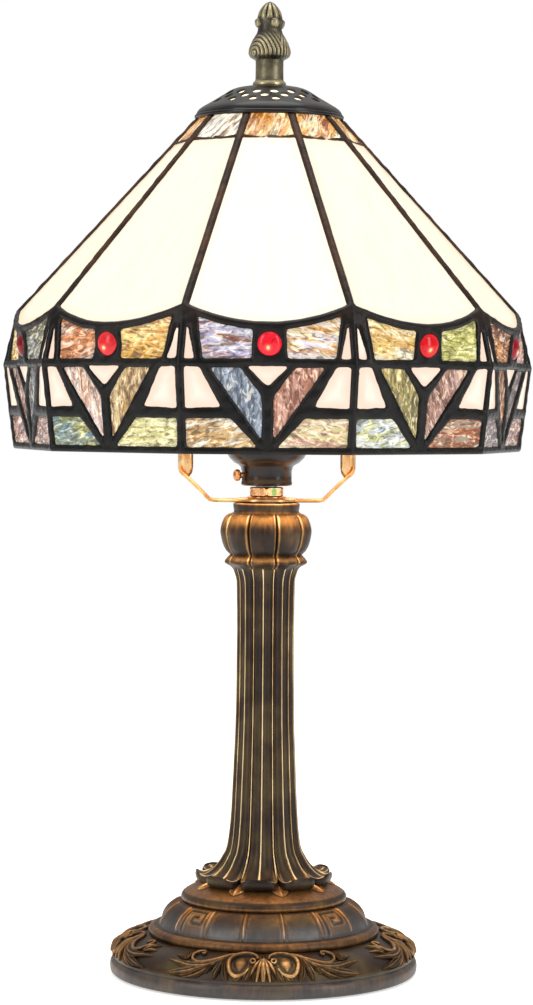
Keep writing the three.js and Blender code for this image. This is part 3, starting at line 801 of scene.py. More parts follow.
def make_roof_glass():
    for facet in range(SIDES):
        # Facets toward the sides get peachier tints: painted light, how lit opal looks when seen at a slant.
        tints = OPAL_PAINTED_SLANT if facet in (2, 3, 7, 8) else OPAL_TINTS
        panel = Shape()
        add_sheet(panel, facet, roof_places(None, CROWN_SLOPE - 0.25, 61), tints, 80, ripple=0.12)
        panel.build(f"opal_sheet_{facet + 1:02d}", opal_glass, "shade",
                    [f"opal_panel_{facet + 1:02d}"])
        pane = Shape()
        places = roof_places(CROWN_SLOPE + 0.25, TOP_SLOPE + 0.9, 15, 21)
        crown = CROWN_TINTS[CROWN_ORDER[facet]]
        add_sheet(pane, facet, places, crown, chance.uniform(30, 70), ripple=0.15)
        pane.build(f"crown_sheet_{facet + 1:02d}", rippled_glass, "shade",
                   [f"crown_pane_{facet + 1:02d}"])


make_roof_glass()
print("roof glass made")

# %% [markdown]
# ## The jeweled band
# Under the roof, each facet holds six pieces of streaky, rippled glass, five small opals and one
# pressed glass jewel. No two neighbours share a sheet, which is what makes the band lively: gold
# stands by gray blue, rose by olive. The table below says which sheet each piece was cut from.
# %% The streaky glass of each facet
SHEETS = {
    "rose_ice": ("8e5a4a", "dfe3ee", "b9b3d6"), "gold": ("eab850", "fbe8ac", "bb8430"),
    "cream": ("f0dcae", "ece3f0", "d79a4c"), "gray_blue": ("6d7d92", "a9b4c4", "4c5a70"),
    "terracotta": ("b0735a", "d6a08c", "8a4f3c"), "tan_wave": ("d2a868", "f4eede", "b08a5a"),
    "olive_cream": ("d9cb8e", "f3e7c2", "c99a86"), "orange_pink": ("d88448", "f0d6c4", "b0704a"),
    "honey": ("e8ae44", "fbdc86", "b87a28"), "pink_tan": ("d8b096", "f2e4dc", "b98a76"),
    "tan_brown": ("c39a5a", "dcc08a", "7e5a38"), "teal_gold": ("6f8f96", "c9c27a", "8a8f4a"),
    "pale_olive": ("d6d08a", "eee6b0", "b5a862"), "dark_olive": ("4a4a36", "7a7858", "9aa0a0"),
    "night": ("1e1a1c", "3a3438", "8a8a92"), "pink_brown": ("8a6058", "b38a80", "5e3e3a"),
    "yellow_white": ("e6c060", "f8f0d4", "d09a3c"), "lime_fine": ("c8c468", "e6e2a0", "9a9a48"),
    "olive_gold": ("8f8444", "cdb668", "6a6030"), "rose_streak": ("9c6a58", "cfa79a", "6e4236"),
    "ice_lime": ("b8c2cc", "f0eede", "c6c886"), "rust": ("b5622c", "a3907a", "8e4820"),
    "maroon": ("5a2e22", "8a4e30", "d08a40"), "copper": ("8e5632", "b87a4c", "5c3220"),
    "gray_plum": ("6a5a62", "8e7a78", "4a3c44"),
}
FACET_SHEETS = (
    ("rose_ice", "cream", "gray_blue", "terracotta", "tan_wave", "olive_cream"),
    ("yellow_white", "lime_fine", "olive_gold", "rose_streak", "ice_lime", "rust"),
    ("maroon", "rose_streak", "copper", "gray_plum", "gray_plum", "pink_brown"),
    ("tan_wave", "gray_blue", "honey", "olive_gold", "olive_cream", "terracotta"),
    ("cream", "rust", "pink_tan", "teal_gold", "yellow_white", "tan_brown"),
    ("gold", "rose_ice", "terracotta", "gray_blue", "pale_olive", "tan_wave"),
    ("lime_fine", "yellow_white", "copper", "olive_gold", "rust", "ice_lime"),
    ("pink_tan", "honey", "gray_blue", "tan_brown", "teal_gold", "cream"),
    ("gold", "dark_olive", "pink_brown", "night", "rose_streak", "pink_brown"),
    ("orange_pink", "honey", "pink_tan", "tan_brown", "teal_gold", "pale_olive"),
)
GRAIN_TURN = {"upper_left": 4, "upper_right": 3, "vee_left": 84, "vee_right": 96,
              "bottom_left": 6, "bottom_right": -4}
SMALL_OPAL = ("fff8e8", "fff2e0", "fad2ba")


def fine_places(corners, curved_top=False, step=1.1):
    corners = grown(corners, TUCK)
    wide = max(np.ptp(corners[:, 0]), 4)
    tall = max(np.ptp(corners[:, 1]), 4)
    return sheet_places(corners, int(wide / step) + 2, int(tall / step) + 2, curved_top)


def make_band(facet):
    rippled = Shape()
    for (name, corners), sheet in zip(RIPPLED_OPENINGS.items(), FACET_SHEETS[facet]):
        places = fine_places(corners, name.startswith("upper"))
        angle = GRAIN_TURN[name] + chance.uniform(-15, 15)
        add_sheet(rippled, facet, places, SHEETS[sheet], angle, ripple=0.2)
    node = f"jewel_band_{facet + 1:02d}"
    rippled.build(f"rippled_glass_{facet + 1:02d}", rippled_glass, "shade", [node])
    opals = Shape()
    for corners in OPAL_OPENINGS.values():
        add_sheet(opals, facet, fine_places(corners), SMALL_OPAL, chance.uniform(0, 180), ripple=0.08)
    opals.build(f"small_opals_{facet + 1:02d}", opal_glass, "shade", [node])


for facet in range(SIDES):
    make_band(facet)
print("band made of", len(SHEETS), "kinds of sheet")

# %% [markdown]
# ## The glass jewels
# A jewel is a round cabochon pressed in a mould: a smooth dome with a flat back and a thin girdle
# that the solder grips. It is the one really clear color in the shade, so light gathers in it: we
# store a spot a little low in each one, and paint a warm glow there, a painted highlight of the bulb.
# %% Jewels
JEWEL_RADIUS = 5.6
JEWEL_CROWN = 3.0
JEWEL_BACK = 3.2
JEWEL_TINTS = ("ea1c30", "d8141e", "8a0c1c", "c01a24", "d42a2a", "e01c2c", "d8141e", "c01a24",
               "6e1016", "dc2c30")


def jewel_finish():
    glass = Material("jewel_glass", Roughness=0.12, Coat_Weight=0.05, Specular_IOR_Level=0.25)
    glass.set(Emission_Strength=0.95)
    grain = glass.note("grain", "Vector")
    clouds = glass.noise(grain, 3, detail=2, warp=1)
    spot = glass.note("spot")
    color = glass.mix(clouds.between(0.45, 0.75) * 0.5, glass.note("tint_a", "Color"), paint("8a0a14"))
    # A warm spot, orange and then pale at its heart: a painted highlight of the bulb seen through the glass.
    color = glass.mix((spot + 0.4 * (clouds - 0.5)).between(0.3, 0.7) * 0.6, color, paint("ff5a3a"))
    color = glass.mix((spot + 0.3 * (clouds - 0.5)).between(0.7, 1.0), color, paint("ffe2b0"))
    glass.set(Base_Color=dimmed(glass, color, 0.2), Emission_Color=color)
    glass.set(Normal=glass.bump(clouds, 0.2, 0.3))
    return glass


def make_jewel(facet, finish):
    """A dome in front, a flat back, and rounded shoulders between them."""
    around = np.linspace(0, 2 * math.pi, 48, endpoint=False)
    turns = np.linspace(0.06, 1.5, 14)
    dome = [(JEWEL_RADIUS * math.sin(turn), JEWEL_CROWN * math.cos(turn) - 0.4) for turn in turns]
    flat = [(JEWEL_RADIUS, -0.9), (JEWEL_RADIUS - 0.8, -JEWEL_BACK), (0.4, -JEWEL_BACK)]
    profile = np.array(dome + flat)
    radius, proud = profile[:, :1], profile[:, 1:] + 0 * around
    middle = JEWEL_PLACE[0] + handmade(facet, *JEWEL_PLACE)
    across = middle + radius * np.cos(around)
    height = JEWEL_PLACE[1] + radius * np.sin(around)
    points, out = facet_frame(0 * across + middle, 0 * across + JEWEL_PLACE[1])
    side = np.array((1.0, 0, 0))
    up = np.cross(side, out)
    up *= np.sign(up[..., 2:])
    points = points + (across - middle)[..., None] * side + out * proud[..., None]
    points = points + (height - JEWEL_PLACE[1])[..., None] * up
    # Where the painted highlight of the bulb sits, a little left of and below the middle.
    spot = np.exp(-((across - middle + 0.6) ** 2 + (height - 297.6) ** 2) / 4.5)
    tint = np.array(paint(JEWEL_TINTS[facet]))
    jewel = Shape()
    grain = grain_of(across, height, 0, facet)
    ids = jewel.add(turned_to(points, facet), spot=spot, grain=grain, tint_a=tint)
    jewel.quads(ids, around=True)
    jewel.cap(ids[0], flip=True)
    jewel.cap(ids[-1])
    name = f"{facet + 1:02d}"
    return jewel.build(f"cabochon_{name}", finish, "shade", [f"jewel_{name}"], smooth=50)


jewel_glass = jewel_finish()
for facet in range(SIDES):
    make_jewel(facet, jewel_glass)
print("jewels set")

# %% [markdown]
# ## Bronzed castings
# The column and the base are cast resin with a bronze finish: a dark brown coat is painted on, then
# a nearly dry brush of copper gold is dragged over it, so the color catches only on what stands up.
# A little olive is wiped into the hollows; gray blue, where a note asks for it, is a painted reflection.
# Every casting stores how high each point stands in its relief, and the finish uses that note for where the
# brush caught; where the note is raised for light from above, that copper and pale gold is painted light.
# %% Curves and the bronze finish
def flowing(points, step=0.8):
    """A smooth curve through points, cut into short steps of nearly equal length."""
    points = np.asarray(points, float)
    padded = np.concatenate([2 * points[:1] - points[1:2], points, 2 * points[-1:] - points[-2:-1]])
    places = []
    for p0, p1, p2, p3 in zip(padded, padded[1:], padded[2:], padded[3:]):
        count = max(2, int(np.linalg.norm(p2 - p1) / step))
        t = np.linspace(0, 1, count, endpoint=False)[:, None]
        bend = 2 * p0 - 5 * p1 + 4 * p2 - p3
        twist = 3 * (p1 - p2) + p3 - p0
        places.append(0.5 * (2 * p1 + (p2 - p0) * t + bend * t ** 2 + twist * t ** 3))
    return np.concatenate([*places, points[-1:]])


def around_axis(radius, turn, height):
    """Points from a distance to the axis, a turn from the front in radians, and a height."""
    radius, turn, height = np.broadcast_arrays(radius, turn, height)
    return np.stack([radius * np.sin(turn), -radius * np.cos(turn), height], axis=-1)


def hump(value, middle, spread):
    """A smooth hump of height 1."""
    return np.exp(-((value - middle) / spread) ** 2)


def bronze_finish(name, dark, copper, olive, light, brushed=0.5):
    bronze = Material(name, Coat_Weight=0.1, Coat_Roughness=0.3, Specular_IOR_Level=0.35)
    where = bronze.place()
    drag = bronze.noise(bronze.place((1, 1, 0.18)), 2.4, detail=5, rough=0.65)
    clouds = bronze.noise(where, 18, detail=3)
    grit = bronze.noise(where, 0.8, detail=3, rough=0.7)
    relief = bronze.note("relief")
    # Copper where the brush caught the relief, and where the relief note carries painted light from above.
    brushed_and_lit = (relief + 0.5 * (drag - 0.5) + 0.3 * (clouds - 0.5)).between(brushed - 0.12, brushed + 0.5)
    body = bronze.mix(clouds.between(0.35, 0.7), paint(dark), paint("3e2a1a"))
    body = bronze.mix((clouds - 0.2 * relief).between(0.4, 0.62) * 0.55, body, paint(olive))
    color = bronze.mix(brushed_and_lit, body, paint(copper))
    # Gray blue where the note asks for it: a painted reflection of the room.
    color = bronze.mix(bronze.note("cool") * (0.3 + 0.5 * drag), color, paint("5d6468"))
    # The pale gold on the highest ridges is partly rubbed-through metal, partly a painted highlight.
    ridge = (relief + 0.5 * (drag - 0.5) + 0.9 * (clouds - 0.5)).between(0.82, 1.12)
    color = bronze.mix(ridge * 0.8, color, paint(light))
    roughness = 0.46 - 0.14 * brushed_and_lit + 0.2 * (grit - 0.5)
    bronze.set(Base_Color=color, Metallic=0.4 + 0.3 * brushed_and_lit, Roughness=roughness)
    bronze.set(Normal=bronze.bump(drag + 0.6 * grit, 0.16, 0.5))
    return bronze


cast_bronze = bronze_finish("cast_bronze", "2c1e12", "a8743e", "544a28", "e6bd84", 0.46)
carved_bronze = bronze_finish("carved_bronze", "241c12", "a87c48", "4e4a2c", "e8c48c", 0.58)
shaft_bronze = bronze_finish("shaft_bronze", "20160e", "a8804a", "443c1e", "f0e0b4", 0.5)
print("bronze finishes ready")

# %% [markdown]
# ## The column
# Nine lobes run the whole height of the column. At the top they swell into a melon, under it they
# curl out as small leaf tips, along the shaft each one is a shallow trough with a thin rib in the
# middle, and at the foot each opens into a spoon-shaped petal with a rolled lip. We describe one
# profile down the side, with three numbers for each point: how far the lobes bulge, how deep the
# flutes are, and how far down the petal we are. One function turns them into a radius.
# %% The column's surface
LOBES = 9
LOBE_PHASE = math.radians(-5)
# distance from the axis, height, lobe bulge, flute depth
CAPITAL = [
    (15.0, 225.2, 0, 0), (15.9, 224.8, 0, 0), (15.9, 223, 0, 0), (15.6, 220.9, 0, 0), (16.6, 220.2, 0.6, 0),
    (18.4, 219.6, 2.2, 0), (19.9, 218.4, 3.0, 0), (20.9, 216.6, 3.4, 0), (21.7, 214.2, 3.6, 0),
    (22.1, 211.4, 3.6, 0), (21.7, 208.6, 3.6, 0), (20.9, 205.4, 3.3, 0), (19.6, 202.6, 3.0, 0),
    (18.1, 200.9, 2.2, 0), (17.4, 200.2, 1.4, 0), (18.4, 199.2, 1.6, 0), (19.7, 197.6, 2.4, 0),
    (20.0, 196.5, 3.0, 0), (18.9, 195.6, 2.8, 0.2), (17.0, 194.6, 1.8, 0.3), (15.7, 193.2, 1.0, 0.5),
    (14.9, 191.2, 0.7, 0.8), (14.2, 189.2, 0.5, 1), (13.8, 186, 0.4, 1),
]
SHAFT = [
    (13.6, 175, 0.4, 1), (13.5, 160, 0.4, 1), (13.6, 140, 0.4, 1), (13.9, 120, 0.4, 1), (14.5, 104, 0.4, 1),
    (15.1, 90, 0.5, 1), (15.8, 76, 0.6, 1), (16.8, 65, 0.8, 1.1), (18.0, 59, 1.0, 1.2),
]
PETAL = [
    (19.6, 55.9, 1.2, 1.3), (21.4, 52.9, 1.3, 1.4), (23.6, 50.2, 1.2, 1.4), (26.2, 48.1, 0.9, 1.3),
    (28.8, 46.9, 0.5, 1.2), (30.8, 46.9, 0.2, 0.9), (32.0, 47.8, 0, 0.4), (32.6, 48.5, 0, 0),
]
UNDER_PETAL = [(33.0, 47.2, 0, 0), (32.6, 45.2, 0, 0), (31.2, 43.6, 0, 0), (28.6, 42.6, 0, 0),
               (24, 42.4, 0, 0)]
PETAL_START = SHAFT[-1]


def flute(lobe):
    """The section across one lobe, from -1 to 1: a rib, two troughs, and an edge at each side."""
    side = abs(lobe)
    troughs = -0.95 * np.sin(math.pi * np.clip((side - 0.06) / 0.72, 0, 1)) ** 0.8
    ribs = 0.35 * hump(lobe, 0, 0.06) + 0.25 * hump(side, 0.8, 0.05) + 0.3 * hump(side, 1, 0.07)
    return troughs + ribs - 0.45 * hump(side, 0.9, 0.045)


def petal_outline(lobe, down):
    """How far out a petal reaches there: its tip is round, so its sides stop sooner."""
    rounding = 1 - (1 - np.clip(abs(lobe), 0, 1) ** 2.6) ** (1 / 2.6)
    return down * (1 - 0.62 * rounding * np.clip(down, 0, 1))


def column_grid(steps=720):
    profile = flowing(np.array(CAPITAL + SHAFT + PETAL), 0.55)
    under = flowing(np.array([PETAL[-1]] + UNDER_PETAL), 0.8)[1:]
    turn = np.linspace(0, 2 * math.pi, steps, endpoint=False)[None]
    lobe = ((turn - LOBE_PHASE) * LOBES / math.pi + 1) % 2 - 1
    rows = np.concatenate([profile, under])
    radius, height, bulge, depth = (rows[:, k:k + 1] for k in range(4))
    first = int(np.argmax(profile[:, 1] <= PETAL_START[1]))
    along = np.clip((np.arange(len(rows))[:, None] - first) / (len(profile) - first), 0, 1)
    pulled = petal_outline(lobe, along)
    place = np.minimum(first + pulled * (len(profile) - first), len(profile) - 1)
    pick = np.where(along > 0, place, np.arange(len(rows))[:, None])
    is_under = np.arange(len(rows))[:, None] >= len(profile)
    source = np.arange(len(profile))
    bases = [np.interp(pick, source, profile[:, k]) for k in range(4)]
    tip_radius, tip_height = (np.interp(place, source, profile[:, k]) for k in range(2))
    share = np.clip((radius - UNDER_PETAL[-1][0]) / (PETAL[-1][0] - UNDER_PETAL[-1][0]), 0, 2)
    under_radius = UNDER_PETAL[-1][0] + (tip_radius - UNDER_PETAL[-1][0]) * share
    under_height = height + (tip_height - PETAL[-1][1]) * share * 0.55
    radius = np.where(is_under, np.minimum(under_radius, tip_radius + 0.5), bases[0])
    height = np.where(is_under, under_height, bases[1])
    bulge = np.where(is_under, 0, bases[2])
    depth = np.where(is_under, 0, bases[3])
    swell = 1 - np.sqrt(1 - 0.94 * np.abs(lobe) ** 2.4)
    lip = hump(along, 0.985, 0.05) * (along > 0.5)
    radius = radius - bulge * swell + depth * flute(lobe) * (1 - lip)
    height = height + 0.5 * lip * ~is_under
    side = abs(lobe)
    # Brighter towards the petals' tips and on each lobe's thin middle rib: partly the brush, partly painted
    # light from the lamp above and a painted highlight.
    raised = 0.36 + 0.34 * flute(lobe) + 0.7 * hump(lobe, 0, 0.06) + 0.6 * hump(side, 1, 0.07)
    raised = raised + 0.7 * lip + 0.5 * along ** 2
    # The melon's upper swell and the neck's top edge are brighter: painted light from the lamp above, and a
    # painted highlight on the edge.
    melon = 0.4 + 0.4 * hump(height, 217.2, 3.4) + 0.3 * hump(height, 198.4, 1.6)
    melon = melon + 0.6 * hump(height, 225, 0.6)
    melon = melon + (0.4 * hump(side, 0.86, 0.06) - 0.35 * hump(side, 1, 0.07)) * (bulge > 1)
    relief = np.where(is_under, 0.05, np.where(depth > 0.4, raised, melon))
    return around_axis(radius, turn, height), relief


def make_column():
    points, relief = column_grid()
    casting = Shape()
    ids = casting.add(points, relief=relief)
    casting.quads(ids, around=True)
    turn = np.linspace(0, 2 * math.pi, points.shape[1], endpoint=False)[None]
    bore = casting.add(around_axis(5.4, turn, np.array([[225.2], [42.4]])), relief=0)
    for edge, hole, flip in ((ids[0], bore[0], True), (ids[-1], bore[1], False)):
        casting.quads(np.stack([edge, hole]), around=True, flip=flip)
    casting.quads(bore, around=True)
    return casting.build("column_casting", shaft_bronze, "stand", ["column"], smooth=50)


column_casting = make_column()
print("column:", len(column_casting.data.vertices), "points")

# %% [markdown]
# ## The base
# The base is a turned moulding in four steps: a slope under the petals, a bead, a domed band cut
# into sixteen tiles, a second bead, and a broad flare with a thick rim. Four of the tiles carry a
# sunk key pattern. We turn the profile finely enough that the tiles' ribs and the key pattern can
# be pushed in and out of the very same mesh.
# %% The turned base
BASE_SLOPE = [(22, 43.4), (27, 43.3), (31, 42.4), (34.6, 40.9), (37.4, 39.4), (38.9, 38.3)]
BASE_BEAD = [(39.6, 37.2), (39.7, 36.0), (39.2, 34.9), (38.6, 34.5)]
BASE_BAND = [(40.0, 34.4), (42.4, 33.4), (45.0, 31.7), (47.2, 29.6), (48.8, 27.2), (49.8, 24.6), (50.1, 23.3)]
BASE_RING = [(51.2, 23.0), (53.4, 22.6), (54.8, 21.6), (55.2, 20.3), (54.9, 19.2), (54.4, 18.6)]
BASE_FLARE = [(55.4, 18.5), (58.6, 18.0), (62.4, 17.1), (66.2, 15.7), (69.2, 13.6), (71.0, 11.1), (71.8, 8.9)]
BASE_RIM = [(71.6, 7.7), (72.2, 7.1), (73.1, 6.3), (73.6, 4.8), (73.6, 3.0), (73.2, 1.5), (72.4, 0.8)]
BASE_UNDER = [(68.4, 0.7), (68.3, 2.4), (17.2, 2.5), (17.0, 9.6), (5.4, 9.7), (5.4, 43.2)]
TILES = 16
# A square spiral across a tile, from -1 to 1, and down it, from 0 to 1
KEY_PATTERN = [(-0.62, 0.92), (-0.62, 0.16), (0.6, 0.16), (0.6, 0.62), (-0.12, 0.62), (-0.12, 0.4),
               (0.22, 0.4)]


def from_line(points, x, y, stretch):
    """The distance from a broken line, where stretch gives the size of each unit."""
    best = np.full(np.broadcast(x, y).shape, 99.0)
    for (x0, y0), (x1, y1) in zip(points, points[1:]):
        dx, dy = (x1 - x0) * stretch[0], (y1 - y0) * stretch[1]
        px, py = (x - x0) * stretch[0], (y - y0) * stretch[1]
        share = np.clip((px * dx + py * dy) / (dx * dx + dy * dy), 0, 1)
        best = np.minimum(best, np.hypot(px - share * dx, py - share * dy))
    return best


def tile_relief(turn, down):
    """How far the band stands out from its profile, in millimetres."""
    place = turn / (2 * math.pi) * TILES
    tile = np.round(place)
    across = 2 * (place - tile)
    rib = 0.55 * hump(abs(across), 1, 0.055) - 0.35 * hump(abs(across), 0.88, 0.05)
    dip = np.sin(math.pi * np.clip(down, 0, 1)) ** 0.5
    hollow = -0.45 * (1 - np.clip(abs(across) / 0.9, 0, 1) ** 4) * dip
    has_key = (tile % 4 == 2) & (down > 0) & (down < 1)
    groove = from_line(KEY_PATTERN, across, down, (9.4, 15.0))
    key = np.where(has_key, -0.9 * hump(groove, 0, 0.62) + 0.25 * hump(groove, 1.25, 0.4), hollow)
    return rib + key


def make_base():
    steps = 960
    parts = (BASE_SLOPE, BASE_BEAD, BASE_BAND, BASE_RING, BASE_FLARE, BASE_RIM)
    profile, marks = [], []
    for number, part in enumerate(parts):
        curve = flowing(part, 0.6)
        profile.append(curve)
        marks += [(number, share) for share in np.linspace(0, 1, len(curve))]
    profile = np.concatenate(profile)
    part = np.array([mark[0] for mark in marks])[:, None]
    down = np.array([mark[1] for mark in marks])[:, None]
    turn = np.linspace(-math.pi, math.pi, steps, endpoint=False)[None]
    out = np.gradient(profile, axis=0)
    out = np.stack([-out[:, 1], out[:, 0]], axis=1) / np.linalg.norm(out, axis=1)[:, None]
    swell = np.where(part == 2, tile_relief(turn, down) * np.clip(8 * down * (1 - down), 0, 1) ** 0.4, 0)
    radius = profile[:, :1] + out[:, :1] * swell
    height = profile[:, 1:] + out[:, 1:] * swell
    # Copper on the beads, the ring and the rim grows towards their tops: painted light from the lamp above,
    # over the brushed relief.
    brush_and_top_light = [0.62 + 0 * turn, 0.75 - 0.3 * down, 0.62 + 0.6 * swell, 0.6 - 0.1 * down, 0.26 + 0 * turn]
    relief = np.select([part == number for number in range(5)], brush_and_top_light, 0.55 - 0.25 * down)
    for seam in (part[1:] != part[:-1]).nonzero()[0]:
        relief[seam - 1:seam + 3] -= 0.3
    base = Shape()
    # Gray blue on the band's lower half and on the rim: a painted reflection of the room.
    cool = np.select([part == 2, part == 5], [np.clip(2.2 * (down - 0.4), 0, 1), 0.6], 0) + 0 * turn
    ids = base.add(around_axis(radius, turn, height), relief=relief, cool=cool)
    under = np.array(BASE_UNDER)
    more = base.add(around_axis(under[:, :1], turn, under[:, 1:]), relief=0, cool=0)
    base.quads(np.concatenate([ids, more, ids[:1]]), around=True)
    return base.build("base_moulding", cast_bronze, "stand", ["base_casting"], smooth=50)


base_moulding = make_base()
print("base:", len(base_moulding.data.vertices), "points")

# %% [markdown]
# ## Leaves and scrolls on the flare
# Four swags of leaves lie on the flare. Each is built like a carver's drawing: strokes on a flat
# sheet, measured along the flare and down it, then wrapped round the base. A stroke is a path with
# a width that swells and tapers. A leaf's section has a rib in the middle and raised edges, a
# scroll's is plainly round, and both are closed underneath so that they sit in the flare.
# %% Strokes wrapped onto the casting
LEAF = ((-1, 0), (-0.82, 0.8), (-0.45, 0.5), (-0.12, 0.72), (0, 1), (0.12, 0.72), (0.45, 0.5),
        (0.82, 0.8), (1, 0))
SCROLL = ((-1, 0), (-0.86, 0.55), (-0.5, 0.9), (0, 1), (0.5, 0.9), (0.86, 0.55), (1, 0))


def wrapped(profile, along, down, lift, middle_turn, true_radius):
    """Places a flat drawing on a turned surface: along is round it, down follows its profile."""
    lengths = np.concatenate([[0], np.cumsum(np.linalg.norm(np.diff(profile, axis=0), axis=1))])
    radius = np.interp(down, lengths, profile[:, 0])
    height = np.interp(down, lengths, profile[:, 1])
    fall = np.gradient(profile, lengths, axis=0)
    out_radius = np.interp(down, lengths, -fall[:, 1])
    out_height = np.interp(down, lengths, fall[:, 0])
    turn = middle_turn + along / true_radius
    return around_axis(radius + out_radius * lift, turn, height + out_height * lift)


def add_stroke(shape, surface, path, width, rise, section, sink=0.9, glow=0.0):
    """Adds one raised stroke; width and rise are lists spread evenly along the path."""
    path = flowing(path, 0.7)
    if len(path) < 4:
        path = flowing(path, 0.2)
    share = np.linspace(0, 1, len(path))
    wide = np.interp(share, np.linspace(0, 1, len(width)), width)[:, None]
    tall = np.interp(share, np.linspace(0, 1, len(rise)), rise)[:, None]
    ahead = np.gradient(path, axis=0)
    ahead /= np.linalg.norm(ahead, axis=1)[:, None]
    aside = np.stack([-ahead[:, 1], ahead[:, 0]], axis=1)
    offset, level = (np.array([row[k] for row in section])[None] for k in range(2))
    place = path[:, None] + aside[:, None] * (wide * offset)[..., None]
    top = surface(place[..., 0], place[..., 1], tall * level)
    foot = surface(place[..., 0], place[..., 1], -sink + 0 * tall * level)
    ids = shape.add(top, relief=0.05 + 0.85 * level + glow + 0 * tall)
    under = shape.add(foot[:, ::-1], relief=0)
    rows = np.concatenate([ids, under], axis=1)
    shape.quads(rows, around=True)
    shape.cap(rows[0], flip=True)
    shape.cap(rows[-1])


def circle_path(middle, size, start, end, shrink=1.0, count=16):
    """An arc, or a spiral where shrink is below 1; angles are in degrees."""
    turn = np.radians(np.linspace(start, end, count))
    size = np.asarray(size) * np.linspace(1, shrink, count)[:, None]
    return np.array(middle) + np.stack([np.cos(turn), np.sin(turn)], axis=1) * size


FLARE_LINE = flowing(BASE_FLARE, 0.5)
FLARE_RADIUS = 66.0
# Each stroke of the right half: path, half widths, heights, section
SWAG = [
    ([(11.3, 2.2), (16.6, 4.6), (22.1, 9.4), (28.6, 12.4), (33.2, 11.4), (35.4, 7.4), (34.4, 3.6),
      (31.6, 2.6), (30.3, 4.4), (31.6, 5.9)],
     [1.1, 1.1, 1.0, 1.2, 1.1, 0.9, 0.8, 0.8, 0.7], [1.4, 1.7, 1.7, 1.7, 1.6], SCROLL),
    ([(18.0, 7.2), (22.0, 11.6), (26, 14), (33, 14.8), (40, 13.6), (46.2, 12.4)],
     [0.5, 1.5, 2.1, 2.0, 1.2, 0.3], [1.0, 1.9, 2.1, 1.6, 0.5], LEAF),
    ([(24.5, 13.4), (31, 16.4), (38, 18.2), (45.2, 19.2)], [0.8, 1.8, 1.7, 0.3], [1.2, 2.0, 1.7, 0.4], LEAF),
    ([(23.4, 13.8), (29, 18), (36, 20.6), (42.6, 21.8)], [0.8, 1.7, 1.6, 0.3], [1.0, 1.7, 1.5, 0.3], LEAF),
    ([(37.2, 11.2), (38.6, 7.2), (41.4, 3.2)], [0.7, 1.3, 0.3], [1.1, 1.6, 0.5], LEAF),
    ([(37.0, 11.0), (36.8, 6.6), (37.8, 2.4)], [0.5, 1.1, 0.3], [1.0, 1.5, 0.4], LEAF),
    ([(38.0, 11.4), (41, 9.6), (44.6, 8.2)], [0.5, 1.1, 0.3], [1.0, 1.5, 0.4], LEAF),
    ([(17.6, 6.6), (17.4, 12), (16.6, 17), (15.4, 21.4)], [0.5, 1.2, 1.6, 0.4], [1.0, 1.7, 1.7, 0.5], LEAF),
    ([(18.0, 6.8), (19.4, 12), (20.8, 17), (22.0, 21.4)], [0.5, 1.2, 1.6, 0.4], [1.0, 1.8, 1.8, 0.5], LEAF),
    ([(18.6, 7.0), (21.6, 11), (24.0, 14.6), (25.4, 17.8)], [0.5, 1.2, 1.5, 0.4], [1.0, 1.6, 1.6, 0.5], LEAF),
    ([(2.6, 7.6), (3.6, 4.2), (7.4, 2.0), (12.4, 3.2), (15.6, 8.2), (15.4, 14), (12.6, 18), (8.6, 17.2),
      (6.4, 14.6)],
     [0.7, 1.0, 1.1, 1.1, 1.2, 1.2, 1.0, 0.5], [1.4, 1.8, 1.9, 1.9, 1.6], SCROLL),
    (circle_path((4.6, 9.8), (1.7, 2.3), -120, 290, 0.35), [0.5, 0.7, 0.6, 0.5], [1.3, 1.6, 1.6, 1.7],
     SCROLL),
    ([(5.6, 13.6), (6.6, 17.4), (8.4, 20.8)], [0.7, 1.7, 0.9], [1.3, 1.7, 1.0], LEAF),
    ([(9.4, 18.0), (11.6, 20.2), (13.2, 21.6)], [0.9, 1.5, 0.6], [1.2, 1.4, 0.7], LEAF),
    ([(1.0, 9.0), (3.0, 5.6), (4.2, 1.6)], [0.4, 0.8, 0.3], [1.0, 1.4, 0.6], LEAF),
    ([(0.9, 10.6), (2.6, 15.2), (4.6, 20.6)], [0.4, 1.3, 0.5], [1.2, 1.9, 0.9], LEAF),
]
SWAG_MIDDLE = [
    ([(0, 9), (0, 16), (0, 23.4)], [0.9, 1.7, 0.4], [2.0, 3.0, 1.2], SCROLL),
    ([(-0.6, 9), (-1.8, 14.6), (-2.9, 20.4)], [0.5, 1.2, 0.5], [1.8, 2.6, 1.2], SCROLL),
    ([(0.6, 9), (1.8, 14.6), (2.9, 20.4)], [0.5, 1.2, 0.5], [1.8, 2.6, 1.2], SCROLL),
    ([(-1, 8.6), (-3.2, 12.6), (-5.4, 17.2)], [0.4, 1.0, 0.5], [1.6, 2.2, 1.0], SCROLL),
    ([(1, 8.6), (3.2, 12.6), (5.4, 17.2)], [0.4, 1.0, 0.5], [1.6, 2.2, 1.0], SCROLL),
    ([(0, 9), (0, 5), (0, 1.4)], [0.4, 0.9, 0.3], [1.2, 1.6, 0.6], LEAF),
]
OVAL = (10.4, 10.4, 3.4, 5.0)


